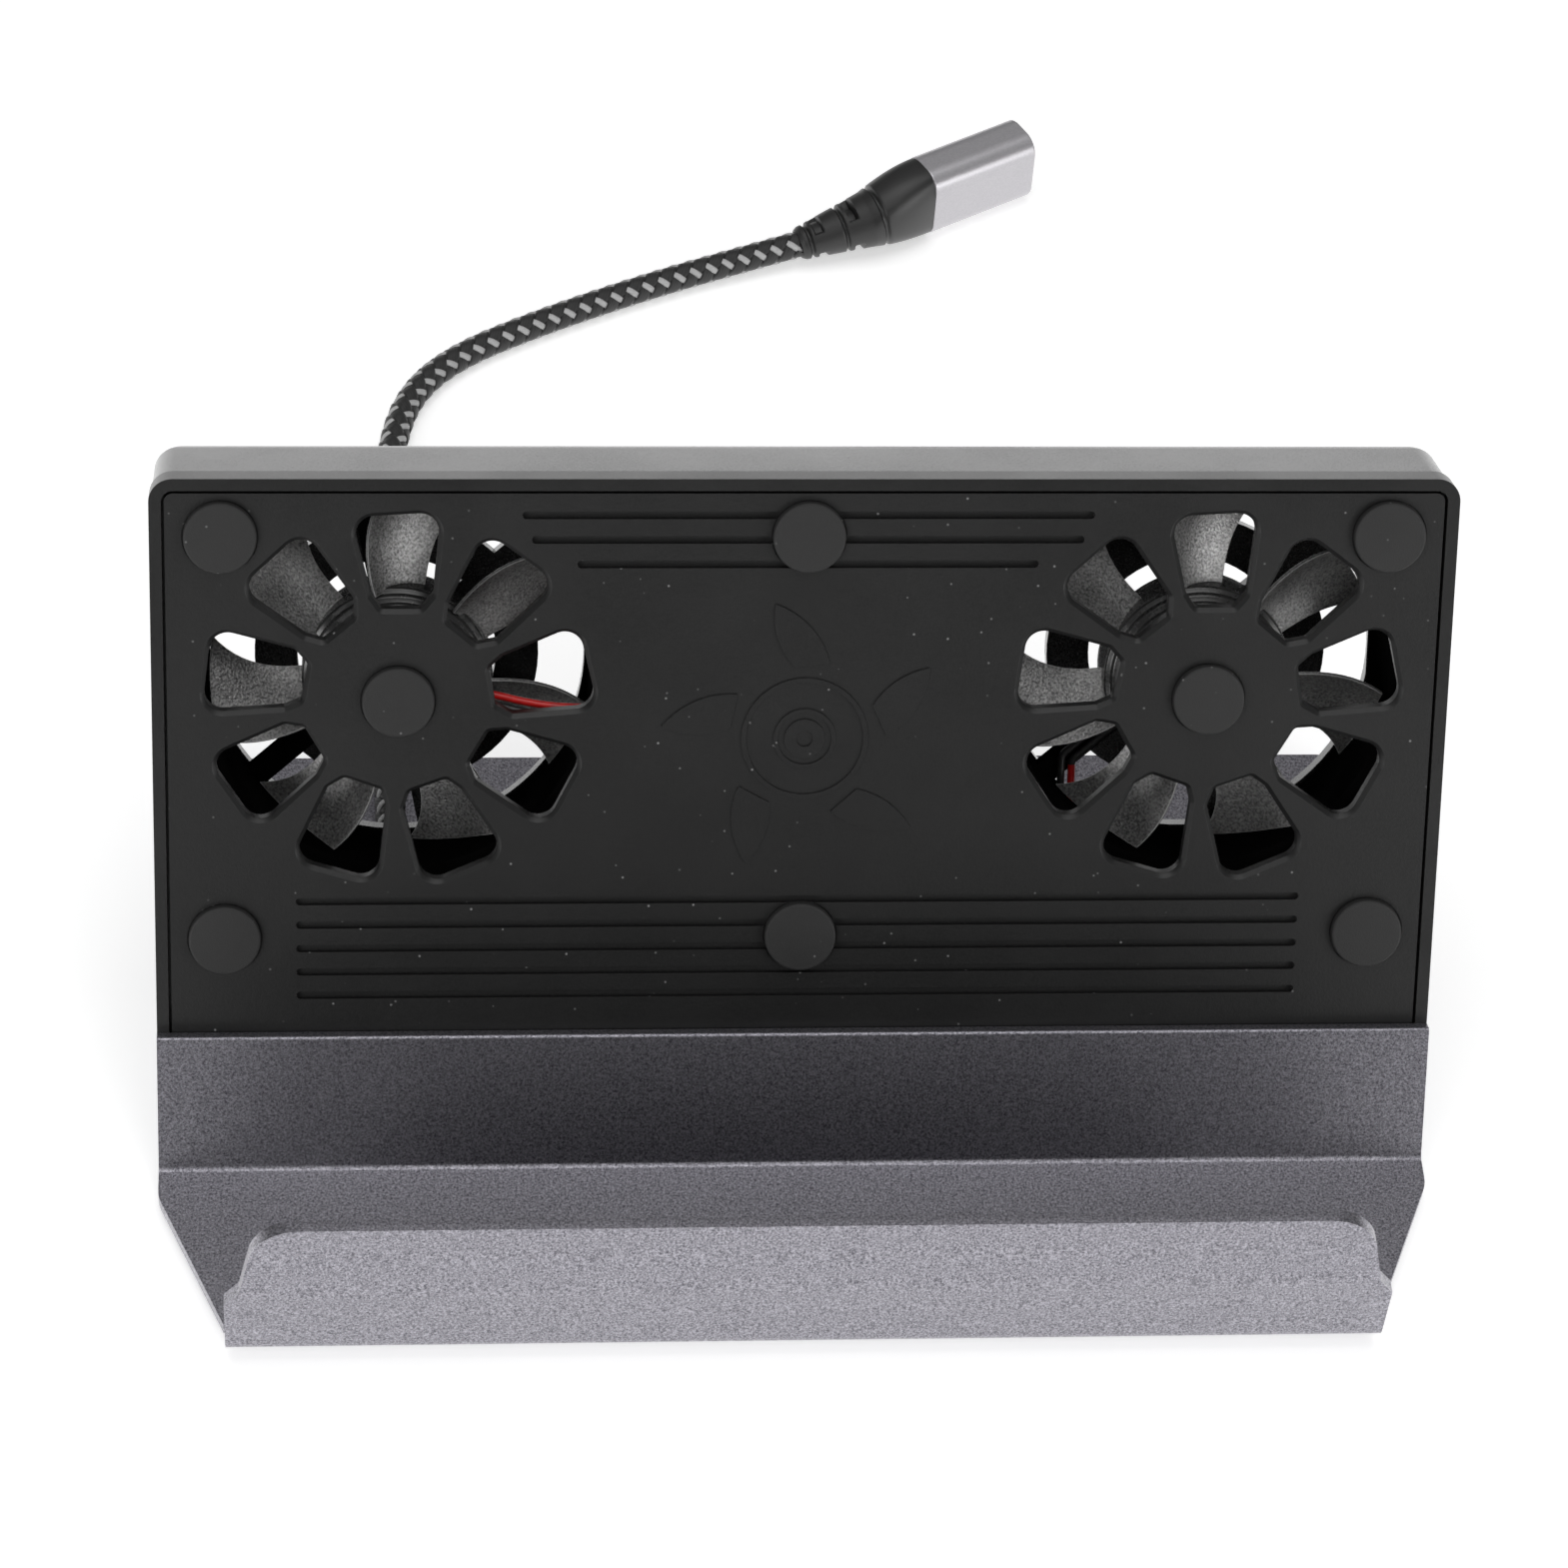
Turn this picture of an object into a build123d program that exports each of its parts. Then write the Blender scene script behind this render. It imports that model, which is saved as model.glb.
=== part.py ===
from build123d import *
import math
import os

# Handheld console docking station: a leaning fan housing on a bent metal stand, in millimetres.
# +X is the viewer's right, -Y the front with the tray, +Z up. The origin is the bottom centre.

# Overall form
body_width = 180.0
body_length = 100.5  # from the bend line up the slope to the top edge
body_depth = 24.5  # front edge of the frame to the back wall, square to the slope
recline = 61.0  # slope of the housing above the table, degrees
corner_radius = 3.3
back_round = 8.0
inner_round = 5.0
wall = 2.2

# Metal stand
sheet = 2.0
bend_radius = 1.0
foot_height = 2.0
foot_radius = 6.0
foot_side_inset = 22.0
foot_end_inset = 13.0
strip_height = 19.9
tray_depth = 27.8
tray_square_depth = 4.8  # floor at full width before its corners are cut
tray_corner_cut = 9.7
tray_corner_radius = 5.0
lip_height = 26.3
lip_crease_height = 13.5
lip_lean_low = 4.0  # degrees outward below the crease
lip_lean_high = 3.0  # degrees inward above it
lip_crease_radius = 12.0
lip_side_straight = 10.5
lip_crease_narrowing = 2.1
lip_top_narrowing = 4.6
lip_corner_radius = 7.0
edge_break = 0.5
relief_radius = 0.8
base_reach = 77.9  # bend line to the rear edge of the base plate
base_corner_radius = 6.0
plate_gap = 0.2
tray_screw_bite = 1.4

# Frame and front panel
bezel_depth = 4.0
bezel_foot = 3.0  # lower edge of the frame above the bend line
bezel_proud = 0.3  # step of the frame beyond the shell behind it
rim_width = 1.7
ledge_width = 2.8
panel_gap = 0.4
panel_inset = 0.2
panel_thickness = 2.2
panel_foot = 16.4

# Grilles, grooves and the plain fan motif
grille_count = 9
grille_bevel = 0.6
grille_top = ((-6.4, -0.3), (5.9, 0.4))  # across, and beyond the fan's bore
grille_foot = ((4.8, 15.2), (3.1, 13.1), (-2.3, 13.1), (-3.7, 15.2))
grille_outer_round = 2.6
grille_inner_round = 0.8
groove_width = 1.1
groove_depth = 0.8
groove_pitch = 3.5
top_groove_overlaps = (23.1, 20.5, 8.0)  # longer than the gap between the fans
top_groove_inset = 5.2  # from the body's top edge
low_groove_side_inset = 19.5
low_groove_gap = 2.5  # from the grilles down to the first groove
low_groove_rest = 8.9  # from the panel's foot up to the last groove
motif_relief = 0.25
motif_rings = ((8.8, 8.2), (4.3, 3.8), (2.8, 1.2))
motif_blades = 5
motif_blade_front = ((11.0, -3.2), (15.6, -1.0), (19.5, 4.4))
motif_blade_back = ((14.2, 3.9), (10.4, 1.6))

# Rubber pads
pad_radius = 5.0
pad_height = 1.1
pad_recess = 0.3
pad_recess_gap = 0.2
pad_side_inset = 9.6
pad_top_inset = 8.2
pad_foot_gap = 17.5  # from the panel's foot up to the lower row

# Fans
fan_size = 57.0
fan_depth = 15.0
fan_side_gap = 5.25  # from the body's sides
fan_top_gap = 3.3  # from the body's top edge
fan_stand = 1.3  # height of the pads that hold the fan off the back wall
fan_stand_radius = 4.0
fan_edge_round = 1.8
fan_wall = 2.0
fan_corner_radius = 4.0
fan_screw_inset = 4.5
fan_screw_bite = 1.4
mount_radius = 10.5
mount_depth = 2.0
arm_width = 3.4
arm_angles = (341.0, 221.0, 101.0)
blade_count = 7
blade_thickness = 1.1
# share of the blade's reach, then its front and back edge in degrees left of its middle line
blade_spans = ((0.0, 15.0, -13.0), (0.5, 13.0, -10.5), (1.0, 9.5, -16.5))
blade_tip_gap = 1.0
blade_camber = 1.2
blade_front_gap = 2.4
blade_axial = 8.9
blade_root = 0.6
hub_radius = 13.3
hub_step = 1.0
hub_front_gap = 1.6
hub_length = 10.0
hub_cap = 1.8
hub_wall = 1.3
shaft_radius = 1.0
bearing_play = 0.1
shaft_pit = 1.2
bearing_radius = 2.5
tube_radius = 3.4
tube_length = 8.8
magnet_thickness = 1.5
magnet_length = 5.8
stator_gap = 0.6
stator_arms = 4
stator_arm_width = 2.4
stator_shoe = 1.6
stator_height = 4.2
winding_gap = 0.2
winding_width = 4.4
winding_start = 4.6
winding_end = 7.6
winding_height = 5.6
fan_board_thickness = 0.8
fan_board_inset = 0.7
running_gap = 0.6
right_fan_phase = 4.0
guard_ring_outer = 20.0
guard_ring_inner = 14.0
guard_disc = 9.5
guard_arm_width = 4.0
guard_arms = 3

# Screws, bosses and wires
screw_radius = 1.25
screw_head_radius = 2.4
screw_head_height = 1.3
screw_play = 0.1
screw_bite = 1.2
countersink = 1.5
head_recess = 2.6
boss_radius = 3.2
boss_split = 12.0  # depth behind the frame's front where the panel's posts meet the bosses
post_gap = 0.05
post_screw_bite = 5.0
post_side_inset = 8.5
post_fan_gap = 7.2  # from the fans' lower edge
post_inner_gap = 7.75  # from the fans' inner edges
post_top_inset = 8.5
post_fan_rise = 1.8  # lower inner posts above the fans' lower edge
tray_screw_side_inset = 22.0
tray_screw_middle = 24.0
tray_screw_rise = 9.5
plate_screw_side_inset = 5.4
plate_screw_front = 16.0  # behind the bend line
plate_screw_bay_inset = 5.2
plate_screw_back_inset = 14.0
foot_boss_height = 7.0
foot_screw_bite = 5.0
wire_radius = 0.55
wire_spacing = 1.5
wire_slot = 4.0
wire_slot_depth = 1.9
wire_bend = 1.6
wire_past = 2.2  # beyond the left fan's side wall
wire_drop = 17.0  # where the right fan's leads turn down, left of its axis
wire_foot = 28.0  # up the slope, where the leads leave it for the header

# Hub bay at the foot of the back
bay_side_inset = 10.0
bay_reach = 46.0  # bend line to the rear wall
bay_height = 18.0
bay_roof_rise = 4.0
bay_roof_run = 3.3  # level part of the roof behind the housing
board_rise = 1.6
board_thickness = 1.6
board_side_gap = 7.8  # from the bay's side walls
board_front = 14.0  # bend line to the board's front edge
board_back_gap = 0.6
board_screw_inset = 6.0
board_screw_front_inset = 5.0
board_screw_back_inset = 7.2
spacer_radius = 2.6
port_play = 0.2
# name: place across, width, height, depth, skin thickness, tongue thickness
ports = {
    "ethernet_socket": (-36.0, 16.0, 11.6, 13.5, 1.0, 0.0),
    "hdmi_socket": (-9.0, 15.0, 5.8, 11.0, 0.5, 1.4),
    "usb_socket_1": (10.5, 14.2, 6.8, 13.5, 0.5, 1.8),
    "usb_socket_2": (28.0, 14.2, 6.8, 13.5, 0.5, 1.8),
    "usb_socket_3": (45.5, 14.2, 6.8, 13.5, 0.5, 1.8),
    "power_socket": (60.5, 9.2, 3.6, 7.5, 0.4, 0.7),
}
port_back = 1.5
tongue_width_share = 0.75
tongue_recess = 1.5
chip_height = 1.2
chip_places = ((-44.0, 8.0), (0.0, 8.0), (22.0, 6.0), (52.0, 4.0))
chip_row = 8.0
header_width = 6.0
header_depth = 4.5
header_height = 4.0
header_inset = 3.5

# Cord and plug, lying on the table behind the stand
cord_radius = 2.2
gland_place = -57.0
gland_height = 11.0
gland_radius = 4.2
gland_end_radius = 3.2
gland_length = 9.0
gland_flange_radius = 5.6
gland_flange = 1.6
cord_route = (
    (-57.0, 31.95, 11.0),
    (-57.0, 43.0, 11.0),
    (-57.4, 62.5, 10.2),
    (-58.0, 84.0, 2.5),
    (-57.8, 104.0, 2.3),
    (-56.4, 122.0, 2.3),
    (-53.4, 134.5, 2.3),
    (-45.8, 143.6, 2.3),
    (-31.0, 152.2, 2.3),
    (-13.0, 160.8, 2.3),
    (0.5, 166.0, 2.6),
    (11.4, 169.3, 3.6),
)
run_share = 0.45
relief_end = (22.8, 173.2, 5.6)
relief_start_radius = 2.9
relief_end_radius = 4.7
relief_notches = 3
relief_notch_width = 1.3
relief_notch_start = 0.35  # of a notch's pitch
relief_skin = 0.6
plug_start = (32.1, 177.9, 6.8)
plug_turn = 29.0  # heading of the plug from +X, degrees
plug_length = 20.0
plug_height = 13.2
plug_thickness = 8.8
plug_corner = 3.2
boot_swell = 0.8  # how far the boot's middle stands out of a straight taper
tip_width = 8.3
tip_height = 2.5
tip_length = 6.6
tip_place = 14.5  # from the start of the shell
tip_drop = 2.0  # below the shell's middle
tip_skin = 0.3

# Places worked out from the sizes above
lean = math.radians(recline)
front_reach = tray_depth + bend_radius + sheet + math.tan(math.radians(lip_lean_low)) * lip_crease_height
bend_y = (front_reach - base_reach) / 2
floor_top = foot_height + sheet
half_width = body_width / 2
lip_half = half_width - tray_corner_cut
shell_back = body_depth - wall
fan_back = shell_back - fan_stand
fan_front = fan_back - fan_depth
fan_bore = fan_size / 2 - fan_wall
fan_screw_spacing = fan_size - 2 * fan_screw_inset
fan_spacing = body_width - 2 * fan_side_gap - fan_size
fan_up = body_length - fan_top_gap - fan_size / 2
fan_low = fan_up - fan_size / 2
fan_gap = fan_spacing - fan_size
pad_rows = (panel_foot + pad_foot_gap, body_length - pad_top_inset)
panel_middle = sum(pad_rows) / 2
panel_back = panel_inset + panel_thickness
pocket_half = half_width - rim_width
pocket_top = body_length - rim_width
bay_back_y = bend_y + bay_reach
board_front_y = bend_y + board_front
board_back_y = bay_back_y - wall - board_back_gap
board_top = floor_top + board_rise + board_thickness
board_half = half_width - bay_side_inset - wall - board_side_gap
header_y = board_front_y + header_inset
header_top = board_top + header_height
half_shoe = stator_shoe / 2
base_back_y = bend_y + base_reach
fans = (("left", -fan_spacing / 2, 0.0), ("right", fan_spacing / 2, right_fan_phase))
wire_turns = {"left": fan_size / 2 + wire_past, "right": -wire_drop}
header_places = [place + wire_turns[side] for side, place, phase in fans]
post_out = half_width - post_side_inset
post_in = fan_gap / 2 - post_inner_gap
post_places = [(x, fan_low - post_fan_gap) for x in (-post_out, post_out)]
post_rows = (fan_low + post_fan_rise, body_length - post_top_inset)
post_places += [(x, up) for x in (-post_in, post_in) for up in post_rows]
tray_screw_out = half_width - tray_screw_side_inset
tray_screw_places = (-tray_screw_out, -tray_screw_middle, tray_screw_middle, tray_screw_out)
grille_outline = [(across, fan_bore + beyond) for across, beyond in grille_top] + list(grille_foot)
grille_reach = max(up for across, up in grille_outline)
centre_low = (Align.CENTER, Align.CENTER, Align.MIN)

# The slope's plane lies on the frame's front: x to the right, y up the slope, z towards the viewer
out_y, out_z = -math.sin(lean), math.cos(lean)
slope = Plane((0, bend_y - sheet * out_y, floor_top - sheet * out_z), (1, 0, 0), (0, out_y, out_z))
up_axis = Axis(slope.origin, slope.y_dir)
out_axis = Axis(slope.origin, slope.z_dir)


def slope_point(across, up, out):
    return slope.from_local_coords(Vector(across, up, out))


def slope_yz(up, out):
    point = slope_point(0, up, out)
    return point.Y, point.Z


def up_at(height, out):
    """How far up the slope a line at this depth reaches a height above the table."""
    return (height - slope_point(0, 0, out).Z) / math.sin(lean)


def slope_plane(across, up, out=0.0):
    return Plane(slope_point(across, up, out), slope.x_dir, slope.z_dir)


def save(builder, name):
    builder.part.label = name
    export_step(builder.part, "parts/" + name + ".step")


os.makedirs("parts", exist_ok=True)

# Metal stand: strip, floor and lip bent from one sheet
half_sheet = sheet / 2
mid_bend = bend_radius + half_sheet
floor_mid_z = floor_top - half_sheet
lip_y = bend_y - tray_depth
lip_foot = (lip_y - mid_bend, floor_mid_z)
crease_rise = lip_crease_height + half_sheet
lip_crease = (lip_foot[0] - math.tan(math.radians(lip_lean_low)) * crease_rise, floor_mid_z + crease_rise)
lip_rest = lip_height - lip_crease_height
lip_top = (lip_crease[0] + math.tan(math.radians(lip_lean_high)) * lip_rest, floor_top + lip_height)
with BuildPart() as front_tray:
    with BuildSketch(Plane.YZ.offset(-half_width)):
        with BuildLine():
            FilletPolyline(
                slope_yz(strip_height, half_sheet),
                slope_yz(up_at(floor_mid_z, half_sheet), half_sheet),
                lip_foot,
                lip_crease,
                lip_top,
                radius=[mid_bend, mid_bend, lip_crease_radius],
            )
        trace(line_width=sheet)
    extrude(amount=body_width)
    cut_y = bend_y - tray_square_depth
    far_y = bend_y - front_reach - sheet
    with BuildSketch(Plane.XY.offset(foot_height - sheet)):
        with BuildLine():
            Polyline(
                (half_width, cut_y),
                (half_width + sheet, cut_y),
                (half_width + sheet, far_y),
                (lip_half, far_y),
                (lip_half, lip_y),
                close=True,
            )
        make_face()
        mirror(about=Plane.YZ)
    extrude(amount=lip_height + 3 * sheet, mode=Mode.SUBTRACT)
    with BuildSketch(Plane.XZ.offset(-lip_y)):
        with Locations((0, floor_top + lip_height)):
            Rectangle(body_width, 2 * (lip_height - lip_side_straight))
        with BuildSketch(mode=Mode.PRIVATE) as lip_outline:
            with BuildLine():
                Polyline(
                    (lip_half, floor_top + lip_side_straight),
                    (lip_half - lip_crease_narrowing, floor_top + lip_crease_height),
                    (lip_half - lip_top_narrowing, floor_top + lip_height),
                    (0, floor_top + lip_height),
                    (0, floor_top + lip_side_straight),
                    close=True,
                )
            make_face()
            fillet(lip_outline.vertices().group_by(Axis.Y)[-1].sort_by(Axis.X)[-1], lip_corner_radius)
            mirror(about=Plane.YZ)
        add(lip_outline.sketch, mode=Mode.SUBTRACT)
    extrude(amount=front_reach, mode=Mode.SUBTRACT)
    upright = front_tray.edges().filter_by(Axis.Z)
    fillet(upright.filter_by(lambda edge: abs(edge.center().Y - cut_y) < half_sheet), tray_corner_radius)
    with BuildSketch(Plane.XY.offset(foot_height)):
        with Locations((lip_half, lip_y), (-lip_half, lip_y)):
            Circle(relief_radius)
    extrude(amount=sheet, mode=Mode.SUBTRACT)
    with BuildSketch(slope):
        with Locations(*[(across, tray_screw_rise) for across in tray_screw_places]):
            Circle(screw_radius + screw_play)
    extrude(amount=tray_screw_bite, mode=Mode.SUBTRACT)
    strip_edge = front_tray.edges().filter_by(Axis.X).sort_by_distance(slope_point(0, strip_height, sheet))
    fillet(strip_edge[0], edge_break)
save(front_tray, "front_tray")

# Base plate behind the bend, and the four rubber feet under the stand
base_front_y = slope_yz(up_at(floor_top, 0), 0)[0] + plate_gap
shell_screw_x = half_width - plate_screw_side_inset
bay_screw_x = half_width - bay_side_inset - plate_screw_bay_inset
shell_screw_places = [(x, bend_y + plate_screw_front) for x in (-shell_screw_x, shell_screw_x)]
shell_screw_places += [(x, bay_back_y - plate_screw_back_inset) for x in (-bay_screw_x, bay_screw_x)]
spacer_ys = (board_front_y + board_screw_front_inset, board_back_y - board_screw_back_inset)
spacer_x = board_half - board_screw_inset
spacer_places = [(x, y) for y in spacer_ys for x in (-spacer_x, spacer_x)]
with BuildPart() as base_plate:
    with BuildSketch(Plane.XY.offset(foot_height)):
        with Locations((0, (base_front_y + base_back_y) / 2)):
            Rectangle(body_width, base_back_y - base_front_y)
        with Locations(*shell_screw_places, *spacer_places):
            Circle(screw_radius + screw_play, mode=Mode.SUBTRACT)
    extrude(amount=sheet)
    corners = base_plate.edges().filter_by(Axis.Z).filter_by(GeomType.LINE).group_by(Axis.Y)[-1]
    fillet(corners, base_corner_radius)
    with BuildSketch(Plane.XY.offset(foot_height)):
        with Locations(*shell_screw_places, *spacer_places):
            Circle(screw_head_radius + screw_play)
    extrude(amount=countersink, mode=Mode.SUBTRACT)
save(base_plate, "base_plate")

foot_x = half_width - foot_side_inset
foot_ys = (lip_y + foot_end_inset, base_back_y - foot_end_inset)
for number, (x, y) in enumerate([(x, y) for y in foot_ys for x in (-foot_x, foot_x)], 1):
    with BuildPart() as rubber_foot:
        with BuildSketch():
            with Locations((x, y)):
                Circle(foot_radius)
        extrude(amount=foot_height)
        chamfer(rubber_foot.faces().sort_by(Axis.Z)[0].edges(), foot_height / 4)
    save(rubber_foot, "rubber_foot_" + str(number))

# Rear shell: the leaning housing with its fan guards, and the hub bay at its foot
roof_z = floor_top + bay_height
below = -body_depth  # the slope is drawn down past the base plate, then cut level


def housing_block(inset, rounding):
    """The leaning block with rounded top corners and back edges, drawn in by an inset."""
    half = half_width - bezel_proud - inset
    top = body_length - bezel_proud - inset
    with BuildPart(mode=Mode.PRIVATE) as block:
        with BuildSketch(slope.offset(-bezel_depth)):
            with Locations((0, (top + below) / 2)):
                Rectangle(2 * half, top - below)
        extrude(amount=bezel_depth - body_depth + inset)
        fillet(block.edges().filter_by(out_axis).group_by(up_axis)[-1], corner_radius - inset / 2)
        fillet(block.faces().sort_by(out_axis)[0].edges().sort_by(up_axis)[1:], rounding)
    return block.part


def bay_block(inset):
    """The hub bay: a level box with a rear wall and a roof that rises to the housing's back."""
    half = half_width - bay_side_inset - inset
    ridge_y = slope_yz(up_at(roof_z + bay_roof_rise, -shell_back), -shell_back)[0] + bay_roof_run - inset
    ridge_z = roof_z + bay_roof_rise - inset
    back = bay_back_y - inset
    with BuildPart(mode=Mode.PRIVATE) as block:
        with BuildSketch(Plane.YZ.offset(-half)):
            with BuildLine():
                Polyline(
                    slope_yz(up_at(foot_height, -shell_back), -shell_back),
                    (back, foot_height),
                    (back, roof_z - inset),
                    (ridge_y, ridge_z),
                    slope_yz(up_at(ridge_z, -shell_back), -shell_back),
                    close=True,
                )
            make_face()
        extrude(amount=2 * half)
    return block.part


with BuildPart() as rear_shell:
    add(housing_block(0, back_round))
    add(bay_block(0))
    add(housing_block(wall, inner_round), mode=Mode.SUBTRACT)
    add(bay_block(wall), mode=Mode.SUBTRACT)
    # bosses that the panel's posts stand on, with their screws entered from behind
    with BuildSketch(slope.offset(-shell_back)):
        with Locations(*post_places):
            Circle(boss_radius)
    extrude(amount=shell_back - boss_split)
    with BuildSketch(slope.offset(-body_depth)):
        with Locations(*post_places):
            Circle(screw_radius + screw_play)
    extrude(amount=body_depth - boss_split, mode=Mode.SUBTRACT)
    with BuildSketch(slope.offset(-body_depth)):
        with Locations(*post_places):
            Circle(screw_head_radius + screw_play)
    extrude(amount=head_recess, mode=Mode.SUBTRACT)
    # guard of rings and arms behind each fan, with the pads that hold the fan and its screws
    for side, place, phase in fans:
        with BuildSketch(slope_plane(place, fan_up, -shell_back)):
            Circle(fan_bore)
            Circle(guard_ring_outer, mode=Mode.SUBTRACT)
            Circle(guard_ring_inner)
            Circle(guard_disc, mode=Mode.SUBTRACT)
            with PolarLocations(0, guard_arms, start_angle=arm_angles[0] + 60):
                Rectangle(
                    fan_bore + guard_arm_width,
                    guard_arm_width,
                    align=(Align.MIN, Align.CENTER),
                    mode=Mode.SUBTRACT,
                )
        extrude(amount=-2 * wall, mode=Mode.SUBTRACT)
        with BuildSketch(slope_plane(place, fan_up, -fan_back)):
            with GridLocations(fan_screw_spacing, fan_screw_spacing, 2, 2):
                Circle(fan_stand_radius)
        extrude(amount=-fan_stand)
        with BuildSketch(slope_plane(place, fan_up, -fan_back)):
            with GridLocations(fan_screw_spacing, fan_screw_spacing, 2, 2):
                Circle(screw_radius + screw_play)
        extrude(amount=-fan_stand - fan_screw_bite, mode=Mode.SUBTRACT)
    # sockets and the cord's gland come through the rear wall
    with BuildSketch(Plane.XZ.offset(-bay_back_y)):
        for x, width, height, depth, skin, tongue in ports.values():
            with Locations((x, board_top + height / 2)):
                Rectangle(width + 2 * port_play, height + 2 * port_play)
        with Locations((gland_place, gland_height)):
            Circle(gland_radius + port_play)
    extrude(amount=2 * wall, mode=Mode.SUBTRACT)
    # feet of the shell take the plate's screws
    with BuildSketch(Plane.XY.offset(floor_top)):
        with Locations(*shell_screw_places):
            Circle(boss_radius)
    extrude(amount=foot_boss_height)
    with BuildSketch(Plane.XY.offset(floor_top)):
        with Locations(*shell_screw_places):
            Circle(screw_radius + screw_play)
    extrude(amount=foot_screw_bite, mode=Mode.SUBTRACT)
    split(bisect_by=Plane.XY.offset(floor_top), keep=Keep.TOP)
save(rear_shell, "rear_shell")

# Bezel frame: a rim round the panel, with the ledge that the panel sits on
with BuildPart() as bezel_frame:
    with BuildSketch(slope):
        with Locations((0, (body_length + bezel_foot) / 2)):
            Rectangle(body_width, body_length - bezel_foot)
    extrude(amount=-bezel_depth)
    fillet(bezel_frame.edges().filter_by(out_axis).group_by(up_axis)[-1], corner_radius)
    pocket_low = panel_foot - panel_gap
    with BuildSketch(slope):
        with Locations((0, (pocket_top + pocket_low) / 2)):
            RectangleRounded(2 * pocket_half, pocket_top - pocket_low, corner_radius - rim_width)
    extrude(amount=-panel_back, mode=Mode.SUBTRACT)
    ledge_top = pocket_top - ledge_width
    ledge_low = pocket_low + ledge_width
    with BuildSketch(slope):
        with Locations((0, (ledge_top + ledge_low) / 2)):
            Rectangle(2 * (pocket_half - ledge_width), ledge_top - ledge_low)
        with Locations(*[(across, tray_screw_rise) for across in tray_screw_places]):
            Circle(screw_radius + screw_play)
    extrude(amount=-bezel_depth, mode=Mode.SUBTRACT)
    split(bisect_by=Plane.XY.offset(floor_top + plate_gap), keep=Keep.TOP)
save(bezel_frame, "bezel_frame")

# Front panel: grilles, grooves, pad seats, the raised motif and the posts behind
panel_top = pocket_top - panel_gap
panel_half = pocket_half - panel_gap
panel_mid = (panel_top + panel_foot) / 2
pad_column = half_width - pad_side_inset
pad_places = [(x, up) for up in pad_rows for x in (-pad_column, 0, pad_column)]
pad_places += [(place, fan_up) for side, place, phase in fans]
low_groove_up = fan_up - grille_reach - low_groove_gap
low_groove_count = 1 + round((low_groove_up - panel_foot - low_groove_rest) / groove_pitch)
grille_middle = (fan_bore + hub_radius) / 2
with BuildSketch() as grille_hole:
    with BuildLine():
        Polyline(*grille_outline, close=True)
    make_face()
    fillet([corner for corner in grille_hole.vertices() if corner.Y > grille_middle], grille_outer_round)
    fillet([corner for corner in grille_hole.vertices() if corner.Y < grille_middle], grille_inner_round)
with BuildSketch() as motif_blade:
    with BuildLine():
        lead = ThreePointArc(*motif_blade_front)
        trail = ThreePointArc(lead @ 1, *motif_blade_back)
        Line(trail @ 1, lead @ 0)
    make_face()
with BuildPart() as front_panel:
    with BuildSketch(slope.offset(-panel_inset)):
        with Locations((0, panel_mid)):
            RectangleRounded(2 * panel_half, panel_top - panel_foot, corner_radius - rim_width - panel_gap)
        with Locations(*[(place, fan_up) for side, place, phase in fans]):
            with PolarLocations(0, grille_count):
                add(grille_hole.sketch, mode=Mode.SUBTRACT)
    extrude(amount=-panel_thickness)
    face = front_panel.faces().sort_by(out_axis)[-1]
    chamfer([edge for wire in face.inner_wires() for edge in wire.edges()], grille_bevel)
    with BuildSketch(slope.offset(-panel_inset)):
        for row, overlap in enumerate(top_groove_overlaps):
            with Locations((0, body_length - top_groove_inset - row * groove_pitch)):
                SlotOverall(fan_gap + overlap, groove_width)
        for row in range(low_groove_count):
            with Locations((0, low_groove_up - row * groove_pitch)):
                SlotOverall(body_width - 2 * low_groove_side_inset, groove_width)
    extrude(amount=-groove_depth, mode=Mode.SUBTRACT)
    with BuildSketch(slope.offset(-panel_inset)):
        with Locations(*pad_places):
            Circle(pad_radius + pad_recess_gap)
    extrude(amount=-pad_recess, mode=Mode.SUBTRACT)
    with BuildSketch(slope.offset(-panel_inset)):
        with Locations((0, panel_middle)):
            for outer, inner in motif_rings:
                Circle(outer)
                Circle(inner, mode=Mode.SUBTRACT)
            with PolarLocations(0, motif_blades, start_angle=90):
                add(motif_blade.sketch)
    extrude(amount=motif_relief)
    with BuildSketch(slope.offset(-panel_back)):
        with Locations(*post_places):
            Circle(boss_radius)
    extrude(amount=panel_back + post_gap - boss_split)
    with BuildSketch(slope.offset(post_gap - boss_split)):
        with Locations(*post_places):
            Circle(screw_radius)
    extrude(amount=post_screw_bite, mode=Mode.SUBTRACT)
save(front_panel, "front_panel")

for number, (across, up) in enumerate(pad_places, 1):
    with BuildPart() as rubber_pad:
        with BuildSketch(slope_plane(across, up, -panel_inset - pad_recess)):
            Circle(pad_radius)
        extrude(amount=pad_recess + pad_height)
        fillet(rubber_pad.edges().sort_by(out_axis)[-1], pad_height / 3)
    save(rubber_pad, "rubber_pad_" + str(number))

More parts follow.
